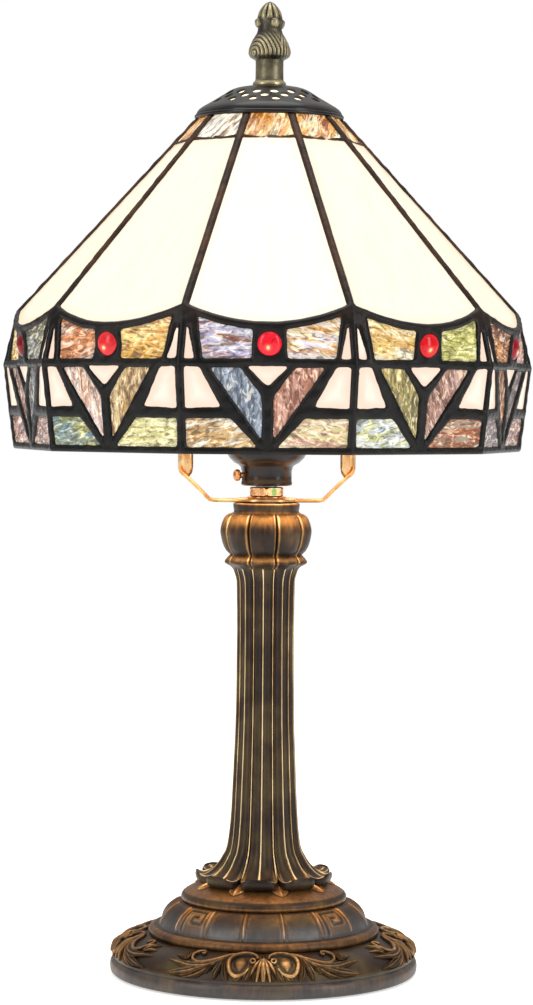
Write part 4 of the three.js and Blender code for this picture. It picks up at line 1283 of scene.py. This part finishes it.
def make_ornament():
    carving = Shape()
    for quarter in range(4):
        for side in (1, -1):
            def on_flare(along, down, lift):
                return wrapped(FLARE_LINE, side * along, down, lift, quarter * math.pi / 2, FLARE_RADIUS)
            for path, width, rise, section in SWAG + (SWAG_MIDDLE if side > 0 else []):
                add_stroke(carving, on_flare, path, width, rise, section)
            x, y, wide, tall = OVAL
            boss = [(x, y - tall), (x, y - tall / 2), (x, y), (x, y + tall / 2), (x, y + tall)]
            widths = [0.4, wide * 0.86, wide, wide * 0.86, 0.4]
            add_stroke(carving, on_flare, boss, widths, [0.1, 0.7, 1, 0.7, 0.1], SCROLL, glow=-0.1)
        boss = circle_path((0, 9.6), (0.5, 0.5), 0, 330)
        add_stroke(carving, on_flare, boss, [0.6], [2.2], SCROLL)
    return carving.build("base_carving", carved_bronze, "stand", ["base_casting"])


def make_darts():
    """Small pointed leaves that show between the petals of the foot."""
    line = flowing(BASE_SLOPE, 0.5)
    darts = Shape()
    for number in range(LOBES):
        middle = LOBE_PHASE + (number + 0.5) * 2 * math.pi / LOBES

        def on_slope(along, down, lift):
            return wrapped(line, along, down, lift, middle, 31.0)
        add_stroke(darts, on_slope, [(0, 0.5), (0, 5), (0, 9.4), (0, 11.6), (0, 12.6)],
                   [2.0, 3.6, 5.2, 3.4, 0.5], [3.4, 2.4, 1.5, 1.2, 0.6], LEAF, glow=0.25)
    return darts.build("foot_darts", cast_bronze, "stand", ["base_casting"])


base_carving = make_ornament()
make_darts()
print("carving:", len(base_carving.data.vertices), "points")

# %% [markdown]
# ## The finial
# The finial is a small brass casting that screws onto the harp and holds the shade. It is a turned
# knob in relief: ridges spread over the lower bulb in rings like those of a shell, four beads sit
# round the neck, and ribs fold up to the tip. Ridges and beads are only small changes of radius on
# one turned surface, which keeps the whole knob a single closed skin.
# %% The finial
FINIAL_LINE = [
    (3.4, 438.4), (3.4, 425.6), (7.6, 425.4), (8.05, 426), (7.9, 426.9), (7.0, 427.9), (6.75, 429),
    (6.7, 436.8), (7.0, 437.8), (8.2, 438.5), (9.3, 439.3), (9.9, 440.8), (9.8, 442.6), (9.35, 444.3),
    (8.3, 446.9), (7.2, 449), (6.3, 450.6), (5.8, 452.2), (5.7, 453.6), (5.8, 455.2), (6.2, 457),
    (5.8, 459.2), (5.2, 461), (4.2, 462.7), (3.0, 464.2), (1.8, 465.3), (0.3, 466.0),
]
QUARTER = math.pi / 2
BEAD_SIZE = 2.4
BEAD_PLACE = (math.radians(24), 455.3)
SHELL_PLACE = (math.radians(-52), 440.6)
RIDGE_STEP = 1.9                    # from one ridge to the next


def make_finial(finish):
    line = flowing(FINIAL_LINE, 0.35)
    turn = np.linspace(0, 2 * math.pi, 240, endpoint=False)[None]
    radius, height = line[:, :1], line[:, 1:]
    outside = np.arange(len(line))[:, None] > len(line) * 0.2
    low = np.clip((height - 438.2) / 3, 0, 1) * np.clip((451 - height) / 4, 0, 1)
    aside = ((turn - SHELL_PLACE[0] + QUARTER) % (2 * QUARTER) - QUARTER) * 9
    ribs = np.abs(np.sin(math.pi * np.hypot(aside, height - SHELL_PLACE[1]) / RIDGE_STEP)) ** 0.7
    tip = np.clip((height - 457) / 2, 0, 1) * np.clip((466.5 - height) / 3, 0, 1)
    leaves = np.abs(np.cos(5 * turn)) ** 0.6
    aside = ((turn - BEAD_PLACE[0] + QUARTER / 2) % QUARTER - QUARTER / 2) * 6.5
    bead = np.hypot(aside, height - BEAD_PLACE[1]) / BEAD_SIZE
    bead = np.sqrt(np.clip(1 - bead ** 2, 0, 1))
    swell = (low * (0.8 * ribs - 0.55) + tip * (0.9 * leaves - 0.7) + 1.8 * bead) * outside
    relief = 0.45 + 0.6 * (low * (ribs - 0.4) + tip * (leaves - 0.4)) + 0.3 * bead
    relief = relief + 0.45 * hump(height, 426.4, 1.2) + 0.15 * hump(height, 432.5, 4.5)
    knob = Shape()
    ids = knob.add(around_axis(np.maximum(radius + swell, 0.1), turn, height), relief=relief)
    knob.quads(ids, around=True)
    knob.cap(ids[0], flip=True)
    knob.cap(ids[-1])
    return knob.build("finial_knob", finish, "finial", ["finial"], smooth=55)


def aged_brass(name, deep, bright, dull):
    brass = Material(name, Coat_Weight=0.15, Coat_Roughness=0.35)
    where = brass.place()
    clouds = brass.noise(where, 6, detail=4)
    grit = brass.noise(where, 0.6, detail=3, rough=0.7)
    shine = (brass.note("relief") + 0.5 * (clouds - 0.5)).between(0.35, 0.95)
    color = brass.mix(shine, paint(deep), paint(bright))
    color = brass.mix(clouds.between(0.55, 0.75) * 0.5, color, paint(dull))
    roughness = 0.44 - 0.14 * shine + 0.2 * (grit - 0.5)
    brass.set(Base_Color=color, Metallic=0.6 + 0.2 * shine, Roughness=roughness)
    brass.set(Normal=brass.bump(grit + clouds, 0.12, 0.5))
    return brass


finial_brass = aged_brass("finial_brass", "26221a", "bdb088", "5e5a40")
finial_knob = make_finial(finial_brass)
print("finial:", len(finial_knob.data.vertices), "points")

# %% [markdown]
# ## The vent cap
# A spun metal dome closes the top of the shade. Warm air leaves through three rings of small oval
# holes, and the light inside makes each hole glow. The holes are cut with the same clipped double
# skin as the lead. Just under the dome hangs a cream lining that glows by itself and shows through
# the holes: painted light for the bulb's light on the white paint inside a real cap.
# %% The cap and its lining
CAP_LINE = [(6.6, 425.4), (9.0, 425.3), (12.4, 424.8), (16.0, 424.1), (18.8, 423.0), (21.4, 421.4),
            (24.2, 419.6), (27.2, 417.8), (30.1, 416.1), (32.6, 414.6), (34.2, 413.2), (35.1, 411.6),
            (35.1, 410.6)]
# For each ring of holes: its distance from the axis, how many, and how far the ring is turned
HOLE_ROWS = ((21.6, 16, 0.28), (24.9, 16, 0.76), (28.2, 16, 0.28))
HOLE_SIZE = (2.3, 1.85)


def hole_depth(radius, turn):
    """How far outside the nearest hole a place on the dome is."""
    depth = np.full(np.broadcast(radius, turn).shape, 9.0)
    for ring, count, phase in HOLE_ROWS:
        step = 2 * math.pi / count
        nearest = (turn - phase * step + step / 2) % step - step / 2
        round_it, along = nearest * ring / HOLE_SIZE[0], (radius - ring) / HOLE_SIZE[1]
        depth = np.minimum(depth, (np.hypot(round_it, along) - 1) * HOLE_SIZE[1])
    return depth


def make_cap(finish, lining_finish):
    line = flowing(CAP_LINE, 0.55)
    turn = np.linspace(-math.pi, math.pi, 361)[None]
    slope = np.gradient(line, axis=0)
    slope /= np.linalg.norm(slope, axis=1)[:, None]
    inward = line + 1.1 * np.stack([slope[:, 1], -slope[:, 0]], axis=1)
    outer = around_axis(line[:, :1], turn, line[:, 1:])
    inner = around_axis(inward[:, :1], turn, inward[:, 1:])
    depth = hole_depth(line[:, :1], turn)
    dome = Shape()
    pierced_skin(dome, outer, inner, depth)
    rim = np.linspace(0, 2 * math.pi, 120, endpoint=False)
    dome.tube(around_axis(34.8, rim, 410.25), 1.15, sides=14, closed=True)
    dome.tube(around_axis(7.2, rim, 424.9), 0.75, sides=10, closed=True)
    cap = dome.build("cap_dome", finish, "shade", ["vent_cap"], weld=0.02, smooth=50)
    lining = Shape()
    under = flowing(line[10:-6:4] + 2.1 * np.stack([slope[10:-6:4, 1], -slope[10:-6:4, 0]], axis=1), 1.5)
    shell = np.concatenate([under, under[::-1] - (0, 0.5)])
    lining.turned(shell, steps=64, closed=True)
    lining.build("cap_lining", lining_finish, "shade", ["vent_cap"])
    return cap


def dark_enamel(name):
    """Nearly black gloss over metal, a little brown where it is thin."""
    metal = Material(name, Coat_Weight=0.2, Coat_Roughness=0.1, Specular_IOR_Level=0.3)
    where = metal.place()
    clouds = metal.noise(where, 12, detail=4)
    grit = metal.noise(where, 0.7, detail=3, rough=0.7)
    color = metal.mix(clouds.between(0.4, 0.7), paint("0c0a0a"), paint("221812"))
    color = metal.mix(grit.between(0.66, 0.82) * 0.25, color, paint("8a6a4c"))
    metal.set(Base_Color=color, Metallic=0.2, Roughness=0.24 + 0.16 * clouds)
    metal.set(Normal=metal.bump(grit + clouds, 0.1, 0.4))
    return metal


def lining_finish():
    # The lining glows by itself: painted light standing in for the bulb's light inside the cap.
    cream = Material("lit_lining", Roughness=0.7, Emission_Strength=2.0)
    soft = cream.noise(cream.place(), 5)
    color = cream.mix(soft.between(0.3, 0.7), paint("ffe9b8"), paint("fff6dc"))
    cream.set(Base_Color=color, Emission_Color=color)
    return cream


cap_dome = make_cap(dark_enamel("dark_cap"), lining_finish())
print("cap:", len(cap_dome.data.vertices), "points")

# %% [markdown]
# ## Harp, saddle and ferrules
# The harp is a bent brass wire that carries the shade over the bulb. Its two legs stand in open
# cups at the ends of a flat saddle, and a sliding sleeve, the ferrule, locks each leg. The saddle
# is one strap with rolled edges, so it is a rounded section moved along a bent path; each cup is a
# curled sheet, drawn as a section with an opening and stood upright.
# %% Wire, strap, cups and sleeves
LEG = 38.6
HARP_SIDE = [(LEG, 247), (LEG, 268), (LEG, 290), (41.6, 330), (37, 366), (29, 394), (16, 412), (0, 418.4)]
STRAP_HALF = 6.0
STRAP_THICK = 1.6
STRAP_SIDE = [(0, 226.3), (14, 226.3), (25.4, 226.3), (27.9, 227.2), (30.4, 229.7), (34, 233.2),
              (38.2, 237.2), (41.3, 240.2), (41.9, 242.6)]
CUP_FOOT = 240
CUP_TOP = 263
CUP_OUTER = 4.1
CUP_INNER = 2.9
CUP_MOUTH = 40


def both_sides(half):
    """A path in the plane of the harp, from the left end over the middle to the right end."""
    right = [(x, 0.0, z) for x, z in half]
    left = [(-x, 0.0, z) for x, z in half[1:]]
    return left[::-1] + right


def make_harp(finish):
    path = flowing(both_sides(HARP_SIDE[::-1]), 1.6)
    harp = Shape()
    harp.tube(path, 2.25, sides=16, relief=0.8)
    seat = [(0.2, 415.4), (4.4, 415.4), (5.0, 420), (7.6, 420.8), (8, 421.2), (8, 422.3), (7.7, 422.65),
            (3.4, 422.7), (3.1, 423), (3.1, 435.6), (2.6, 436), (0.2, 436)]
    harp.turned(seat, steps=48, relief=0.8)
    return harp.build("harp_wire", finish, "stand", ["harp"], smooth=45)


def strap_section():
    """A flat bar's section with round edges: across the strap, and through it."""
    turn = np.linspace(-math.pi / 2, math.pi / 2, 7)
    half = STRAP_THICK / 2
    right = np.stack([STRAP_HALF - half + half * np.cos(turn), half * np.sin(turn)], axis=1)
    return np.concatenate([right, -right])


def make_saddle(finish):
    saddle = Shape()
    path = flowing(both_sides(STRAP_SIDE), 1.0)
    ahead = np.gradient(path, axis=0)
    ahead /= np.linalg.norm(ahead, axis=1)[:, None]
    over = np.cross(ahead, (0, 1.0, 0))
    section = strap_section()
    narrow = np.interp(abs(path[:, 0]), (30, 42), (1.0, 0.82))[:, None]
    across = section[None, :, 0] * narrow
    points = path[:, None] + over[:, None] * section[None, :, 1:] + across[..., None] * np.array((0, 1.0, 0))
    ids = saddle.add(points, relief=0.6)
    saddle.quads(ids, around=True)
    saddle.cap(ids[0], flip=True)
    saddle.cap(ids[-1])
    saddle.turned([(5.4, 225.6), (14.4, 225.6), (15, 226), (15, 227), (14.5, 227.4), (5.4, 227.45)], steps=72,
                  closed=True, relief=0.7)
    for side in (1, -1):
        add_cup(saddle, side)
    return saddle.build("saddle_strap", finish, "stand", ["harp_saddle"], smooth=40)


def add_cup(shape, side):
    """A sheet curled round the harp's leg, open towards the middle of the lamp."""
    turn = np.radians(np.linspace(CUP_MOUTH, 360 - CUP_MOUTH, 40))
    rim = np.concatenate([np.stack([np.cos(turn), np.sin(turn)], axis=1) * CUP_OUTER,
                          np.stack([np.cos(turn[::-1]), np.sin(turn[::-1])], axis=1) * CUP_INNER])
    rim[:, 0] *= -side
    rows = []
    levels = ((CUP_FOOT - 2.4, 0.5), (CUP_FOOT - 0.6, 0.86), (CUP_FOOT + 2, 1), (CUP_TOP - 0.4, 1),
              (CUP_TOP, 0.97))
    for height, shrink in levels:
        x, y = rim[:, 0] * shrink, rim[:, 1] * shrink
        rows.append(np.stack([side * LEG + x, y, 0 * x + height], axis=1))
    ids = shape.add(np.array(rows), relief=0.6)
    shape.quads(ids, around=True)
    shape.cap(ids[0], flip=True)
    shape.cap(ids[-1])


def make_ferrule(side, finish):
    line = [(4.5, 254.2), (5.3, 254.2), (5.7, 254.6), (5.7, 255.6), (5.3, 256.2), (5.2, 262), (5.2, 268),
            (5.35, 270.4), (5.3, 271.8), (4.9, 272), (4.5, 271.8)]
    sleeve = Shape()
    sleeve.turned(line, steps=48, closed=True, relief=0.8)
    for block in sleeve.points:
        block[:, 0] += side * LEG
    name = "right" if side > 0 else "left"
    node = f"harp_ferrule_{name}"
    return sleeve.build(f"ferrule_sleeve_{name}", finish, f"ferrule_{name}", [node], smooth=40)


def polished_finish(name, light, warm, rough=0.22):
    metal = Material(name, Coat_Weight=0.1)
    where = metal.place()
    clouds = metal.noise(where, 7, detail=3)
    rub = metal.noise(metal.place((0.3, 2, 2)), 1.2, detail=4, rough=0.6)
    color = metal.mix(clouds.between(0.3, 0.7), paint(light), paint(warm))
    marked = (metal.note("marked") + 0.4 * (rub - 0.5)).between(0.4, 0.7)
    color = metal.mix(marked, color, paint("74aa55"))
    metal.set(Base_Color=color, Roughness=rough + 0.16 * (rub - 0.3))
    metal.set(Metallic=(0.85 + 0.15 * clouds) * (1 - 0.8 * marked))
    metal.set(Normal=metal.bump(rub, 0.06, 0.4))
    return metal


polished_brass = polished_finish("polished_brass", "dcbc8c", "b08250")
copper_plate = polished_finish("copper_plate", "dcb080", "9c6a3e", 0.2)
make_harp(polished_brass)
make_saddle(polished_brass)
ferrules = [make_ferrule(side, polished_brass) for side in (-1, 1)]
print("harp path and saddle made, ferrules:", len(ferrules))

# %% [markdown]
# ## Nut, socket and set screw
# A hexagon nut with a bright washer clamps the saddle to the column. Above it the socket's cap, a
# spun cup with a ridge or two, carries the shell that holds the bulb, and a small set screw grips
# the pipe from the side. A hexagon with rounded corners is the overlap of a six-sided prism and a
# turned barrel: at each height we take the smaller of the two radii.
# %% The hardware under the shade
NUT_FLATS = 15.9
MARK_TURN = math.radians(27)        # where a dab of green inspection paint sits


def hexagon(turn):
    """The distance to a hexagon's side; a corner points to the front."""
    return NUT_FLATS / 2 / np.cos(turn % (math.pi / 3) - math.pi / 6)


def add_nut(shape, low, tall):
    turn = np.linspace(0, 2 * math.pi, 144, endpoint=False)[None]
    line = np.array([(5.2, 0), (7.6, 0), (8.6, 0.35), (9.2, 0.9), (9.2, tall - 0.9), (8.6, tall - 0.35),
                     (7.4, tall), (5.8, tall), (5.2, tall - 0.5)])
    radius = np.where(line[:, :1] > 7, np.minimum(line[:, :1], hexagon(turn)), line[:, :1])
    marked = hump(turn, MARK_TURN, 0.3) * hump(line[:, 1:], tall / 2, 2.4)
    ids = shape.add(around_axis(radius, turn, low + line[:, 1:]), relief=0.6, marked=marked)
    shape.quads(np.concatenate([ids, ids[:1]]), around=True)


def make_lock_nut(finish):
    nut = Shape()
    washer = [(5.2, 227.45), (8.9, 227.45), (9.2, 227.7), (9.2, 228.0), (8.9, 228.25), (5.2, 228.25)]
    nut.turned(washer, steps=72, closed=True, relief=1, marked=0)
    add_nut(nut, 228.3, 4.4)
    return nut.build("hexagon_nut", finish, "stand", ["lock_nut"], smooth=35)


def make_socket(cap_metal, shell_plastic):
    cap = Shape()
    neck = [(5.4, 233.4), (11.6, 233.4), (12.2, 233.9), (12.2, 235.0), (12.0, 235.6), (12.0, 240.4)]
    bell = [(12.3, 241.0), (12.5, 242.2), (13.4, 243.2), (15.6, 244.4), (17.9, 246.6), (19.4, 249.2),
            (20.2, 251.6), (20.4, 253.4), (20.1, 254.0), (19.3, 254.0)]
    inside = [(19.0, 251.4), (16.8, 247.2), (12.0, 244.2), (11.0, 242), (11.0, 234.6), (5.4, 234.6)]
    cap.turned(neck + bell + inside, steps=96, closed=True, relief=0.5)
    cap.build("socket_bell", cap_metal, "stand", ["socket_cap"], smooth=35)
    shell = Shape()
    rings = [(18.6 - 0.5 * (k % 2), 262 + 1.6 * k) for k in range(12)]
    foot = [(5.4, 246.3), (14.4, 246.3), (18.1, 251.4), (18.2, 254.2), (18.6, 255.2)]
    top = [(18.6, 290), (17.8, 291), (13.7, 291), (13.6, 260.6), (5.4, 260.6)]
    shell.turned(foot + rings + top, steps=96, closed=True, relief=0.5)
    shell.build("socket_body", shell_plastic, "stand", ["socket_shell"], smooth=35)


SCREW_HEIGHT = 238.4
SCREW_TURN = math.radians(20)


def make_set_screw(finish):
    """Turned along its own axis with a knurled head, then laid level, pointing out to the left."""
    line = [(0.2, 9.6), (1.3, 9.6), (1.4, 10), (1.4, 13.6), (1.9, 13.7), (2.5, 14.1), (2.7, 14.7),
            (2.7, 15.7), (2.3, 16.3), (0.9, 16.6), (0.2, 16.6)]
    screw = Shape()
    turn = np.linspace(0, 2 * math.pi, 72, endpoint=False)[None]
    line = np.array(line)
    knurl = 0.12 * np.cos(18 * turn) * (line[:, :1] > 2.4)
    x, y = (line[:, :1] + knurl) * np.cos(turn), (line[:, :1] + knurl) * np.sin(turn)
    along = line[:, 1:] + 0 * turn
    points = np.stack([-along, x, y], axis=-1)
    cos, sin = math.cos(SCREW_TURN), math.sin(SCREW_TURN)
    x, y, z = points[..., 0], points[..., 1], points[..., 2]
    laid = np.stack([x * cos - y * sin, x * sin + y * cos, z + SCREW_HEIGHT], axis=-1)
    ids = screw.add(laid, relief=0.7)
    screw.quads(ids, around=True)
    screw.cap(ids[0], flip=True)
    screw.cap(ids[-1])
    return screw.build("set_screw", finish, "clamp_screw", ["clamp_screw"], smooth=40)


def plastic_finish(name, color, rough):
    plastic = Material(name)
    grit = plastic.noise(plastic.place(), 1.2, detail=3)
    shade = plastic.mix(grit.between(0.3, 0.7), paint(color), tuple(1.5 * v for v in paint(color)))
    plastic.set(Base_Color=shade, Roughness=rough + 0.2 * (grit - 0.5), Normal=plastic.bump(grit, 0.08, 0.4))
    return plastic


make_lock_nut(copper_plate)
socket_metal = dark_enamel("dark_socket")
black_plastic = plastic_finish("black_plastic", "1c1815", 0.4)
make_socket(socket_metal, black_plastic)
make_set_screw(copper_plate)
print("hardware made")

# %% [markdown]
# ## The bulb
# The bulb is the lamp's own light. Its frosted globe is a turned shell that really emits, so it
# lights the inside of the shade, the saddle, the column's top and the base, with soft shadows.
# %% The bulb and its screw cap
BULB_LINE = [(13.0, 288), (13.2, 291.4), (14.4, 296), (17.6, 304), (23.0, 314), (27.6, 323), (29.8, 331),
             (29.6, 338), (27.4, 345.6), (22.6, 352.6), (15.4, 358.6), (7.6, 361.6), (0.3, 362)]


def make_bulb():
    frost = Material("frosted_bulb", Roughness=0.5, Emission_Strength=9.0)
    soft = frost.noise(frost.place(), 14, detail=2)
    warm = frost.mix(soft.between(0.3, 0.7), (1.0, 0.62, 0.3), (1.0, 0.68, 0.36))
    frost.set(Base_Color=frost.mix(soft, (0.9, 0.85, 0.75), (1, 0.95, 0.85)), Emission_Color=warm)
    globe = Shape()
    line = flowing(BULB_LINE, 2.0)
    shell = np.concatenate([line, line[::-1] * (0.96, 1) - (0, 0.6)])
    globe.turned(shell, steps=64, closed=False)
    globe.build("bulb_globe", frost, "bulb", ["bulb_glass"])
    threads = [(12.6 + 0.4 * math.cos(math.pi * k), 268 + 1.5 * k) for k in range(13)]
    cap = Shape()
    tip = [(0.3, 262), (4.4, 262), (5, 262.6), (5, 264), (11.4, 266)]
    cap.turned(tip + threads + [(12.9, 287.6), (0.3, 287.6)], steps=64, relief=0.7)
    steel = polished_finish("nickel_steel", "b9b7b0", "8f8d86", 0.28)
    cap.build("bulb_thread", steel, "bulb", ["bulb_screw_cap"], smooth=40)
    return steel


steel = make_bulb()
print("bulb made")

# %% [markdown]
# ## What stays from the plain model
# The pipe, the foot's nut and washer, the felt and the cord's gland are already the right shape.
# They keep their meshes and only take better finishes.
# %% Finishes for the plain pieces
def felt_finish():
    felt = Material("green_felt", Roughness=0.95, Sheen_Weight=0.4)
    where = felt.place()
    fibres = felt.noise(where, 0.5, detail=4, rough=0.8, warp=1)
    patches = felt.noise(where, 9, detail=2)
    color = felt.mix(fibres.between(0.3, 0.7), paint("1c2a20"), paint("34463a"))
    color = felt.mix(patches * 0.3, color, paint("232f26"))
    felt.set(Base_Color=color, Normal=felt.bump(fibres, 0.3, 0.8))
    return felt


def refinish(names, finish):
    for name in names:
        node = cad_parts[name]
        for place in node.material_slots:
            place.material = finish.material


refinish(["threaded_pipe", "foot_washer", "foot_nut"], steel)
refinish(["felt_pad"], felt_finish())
refinish(["cord_gland"], plastic_finish("gland_rubber", "191411", 0.6))
print("carried-over pieces finished")

# %% [markdown]
# ## The studio
# A pale table and a white room, as for a catalogue. The lamp's own light matters as much: it warms
# the saddle, the column's top and the base. Metal shows only what it reflects, so the room is not
# evenly white: it is dimmer in front and below, and two tall soft boxes stand at the sides. A warm
# disk under the shade, facing down, adds the light that the glass and the bulb throw on the foot.
# %% Room, table and lights
def make_room():
    world = bpy.data.worlds.new("studio")
    world.use_nodes = True
    bpy.context.scene.world = world
    room = Finish(world.node_tree)
    background = world.node_tree.nodes["Background"]
    way = room.node("ShaderNodeTexCoord", output="Generated")
    spread = room.node("ShaderNodeSeparateXYZ", {}, {"Vector": way}, output="Z")
    to_front = room.node("ShaderNodeSeparateXYZ", {}, {"Vector": way}, output="Y")
    level = 0.22 + 0.5 * spread.between(0.1, 0.9) + 0.12 * to_front.between(-0.2, 0.8)
    seen = room.node("ShaderNodeLightPath", output="Is Camera Ray")
    level = level + (1 - level) * seen
    color = room.mix(level, (0, 0, 0), (1, 1, 1))
    room.tree.links.new(color.socket, background.inputs["Color"])
    bpy.context.scene.view_settings.view_transform = "Standard"


def make_floor():
    floor = Material("table_top", Roughness=0.6, Emission_Color=(1, 1, 1), Emission_Strength=0.55)
    soft = floor.noise(floor.place(), 60, detail=2)
    floor.set(Base_Color=floor.mix(soft, (0.9, 0.9, 0.89), (0.94, 0.94, 0.93)))
    mesh = bpy.data.meshes.new("table")
    half = 4.0
    corners = [(-half, -half, 0), (half, -half, 0), (half, half, 0), (-half, half, 0)]
    mesh.from_pydata(corners, [], [(0, 1, 2, 3)])
    mesh.materials.append(floor.material)
    table = bpy.data.objects.new("table", mesh)
    bpy.context.collection.objects.link(table)


def add_light(name, place, toward, power, size, color=(1, 1, 1), tall=None):
    """A flat light: a disk, or a rectangle where tall is given."""
    data = bpy.data.lights.new(name, "AREA")
    data.energy = power
    data.color = color
    data.shape = "RECTANGLE" if tall else "DISK"
    data.size = size
    if tall:
        data.size_y = tall
    light = bpy.data.objects.new(name, data)
    light.location = place
    light.rotation_mode = "QUATERNION"
    light.rotation_quaternion = (Vector(toward) - Vector(place)).to_track_quat("-Z", "Y")
    bpy.context.collection.objects.link(light)


make_room()
make_floor()
MIDDLE = (0, 0, 0.2)
add_light("left_box", (-1.1, -0.9, 0.75), MIDDLE, 8, 0.5, tall=1.2)
add_light("right_box", (1.1, -0.8, 0.7), MIDDLE, 8, 0.4, tall=1.2)
add_light("top_box", (0, 0.1, 1.6), MIDDLE, 8, 1.2)
add_light("glow_under_shade", (0, 0, 0.25), (0, 0, 0), 0.26, 0.2, color=(1, 0.6, 0.32))
print("studio ready")
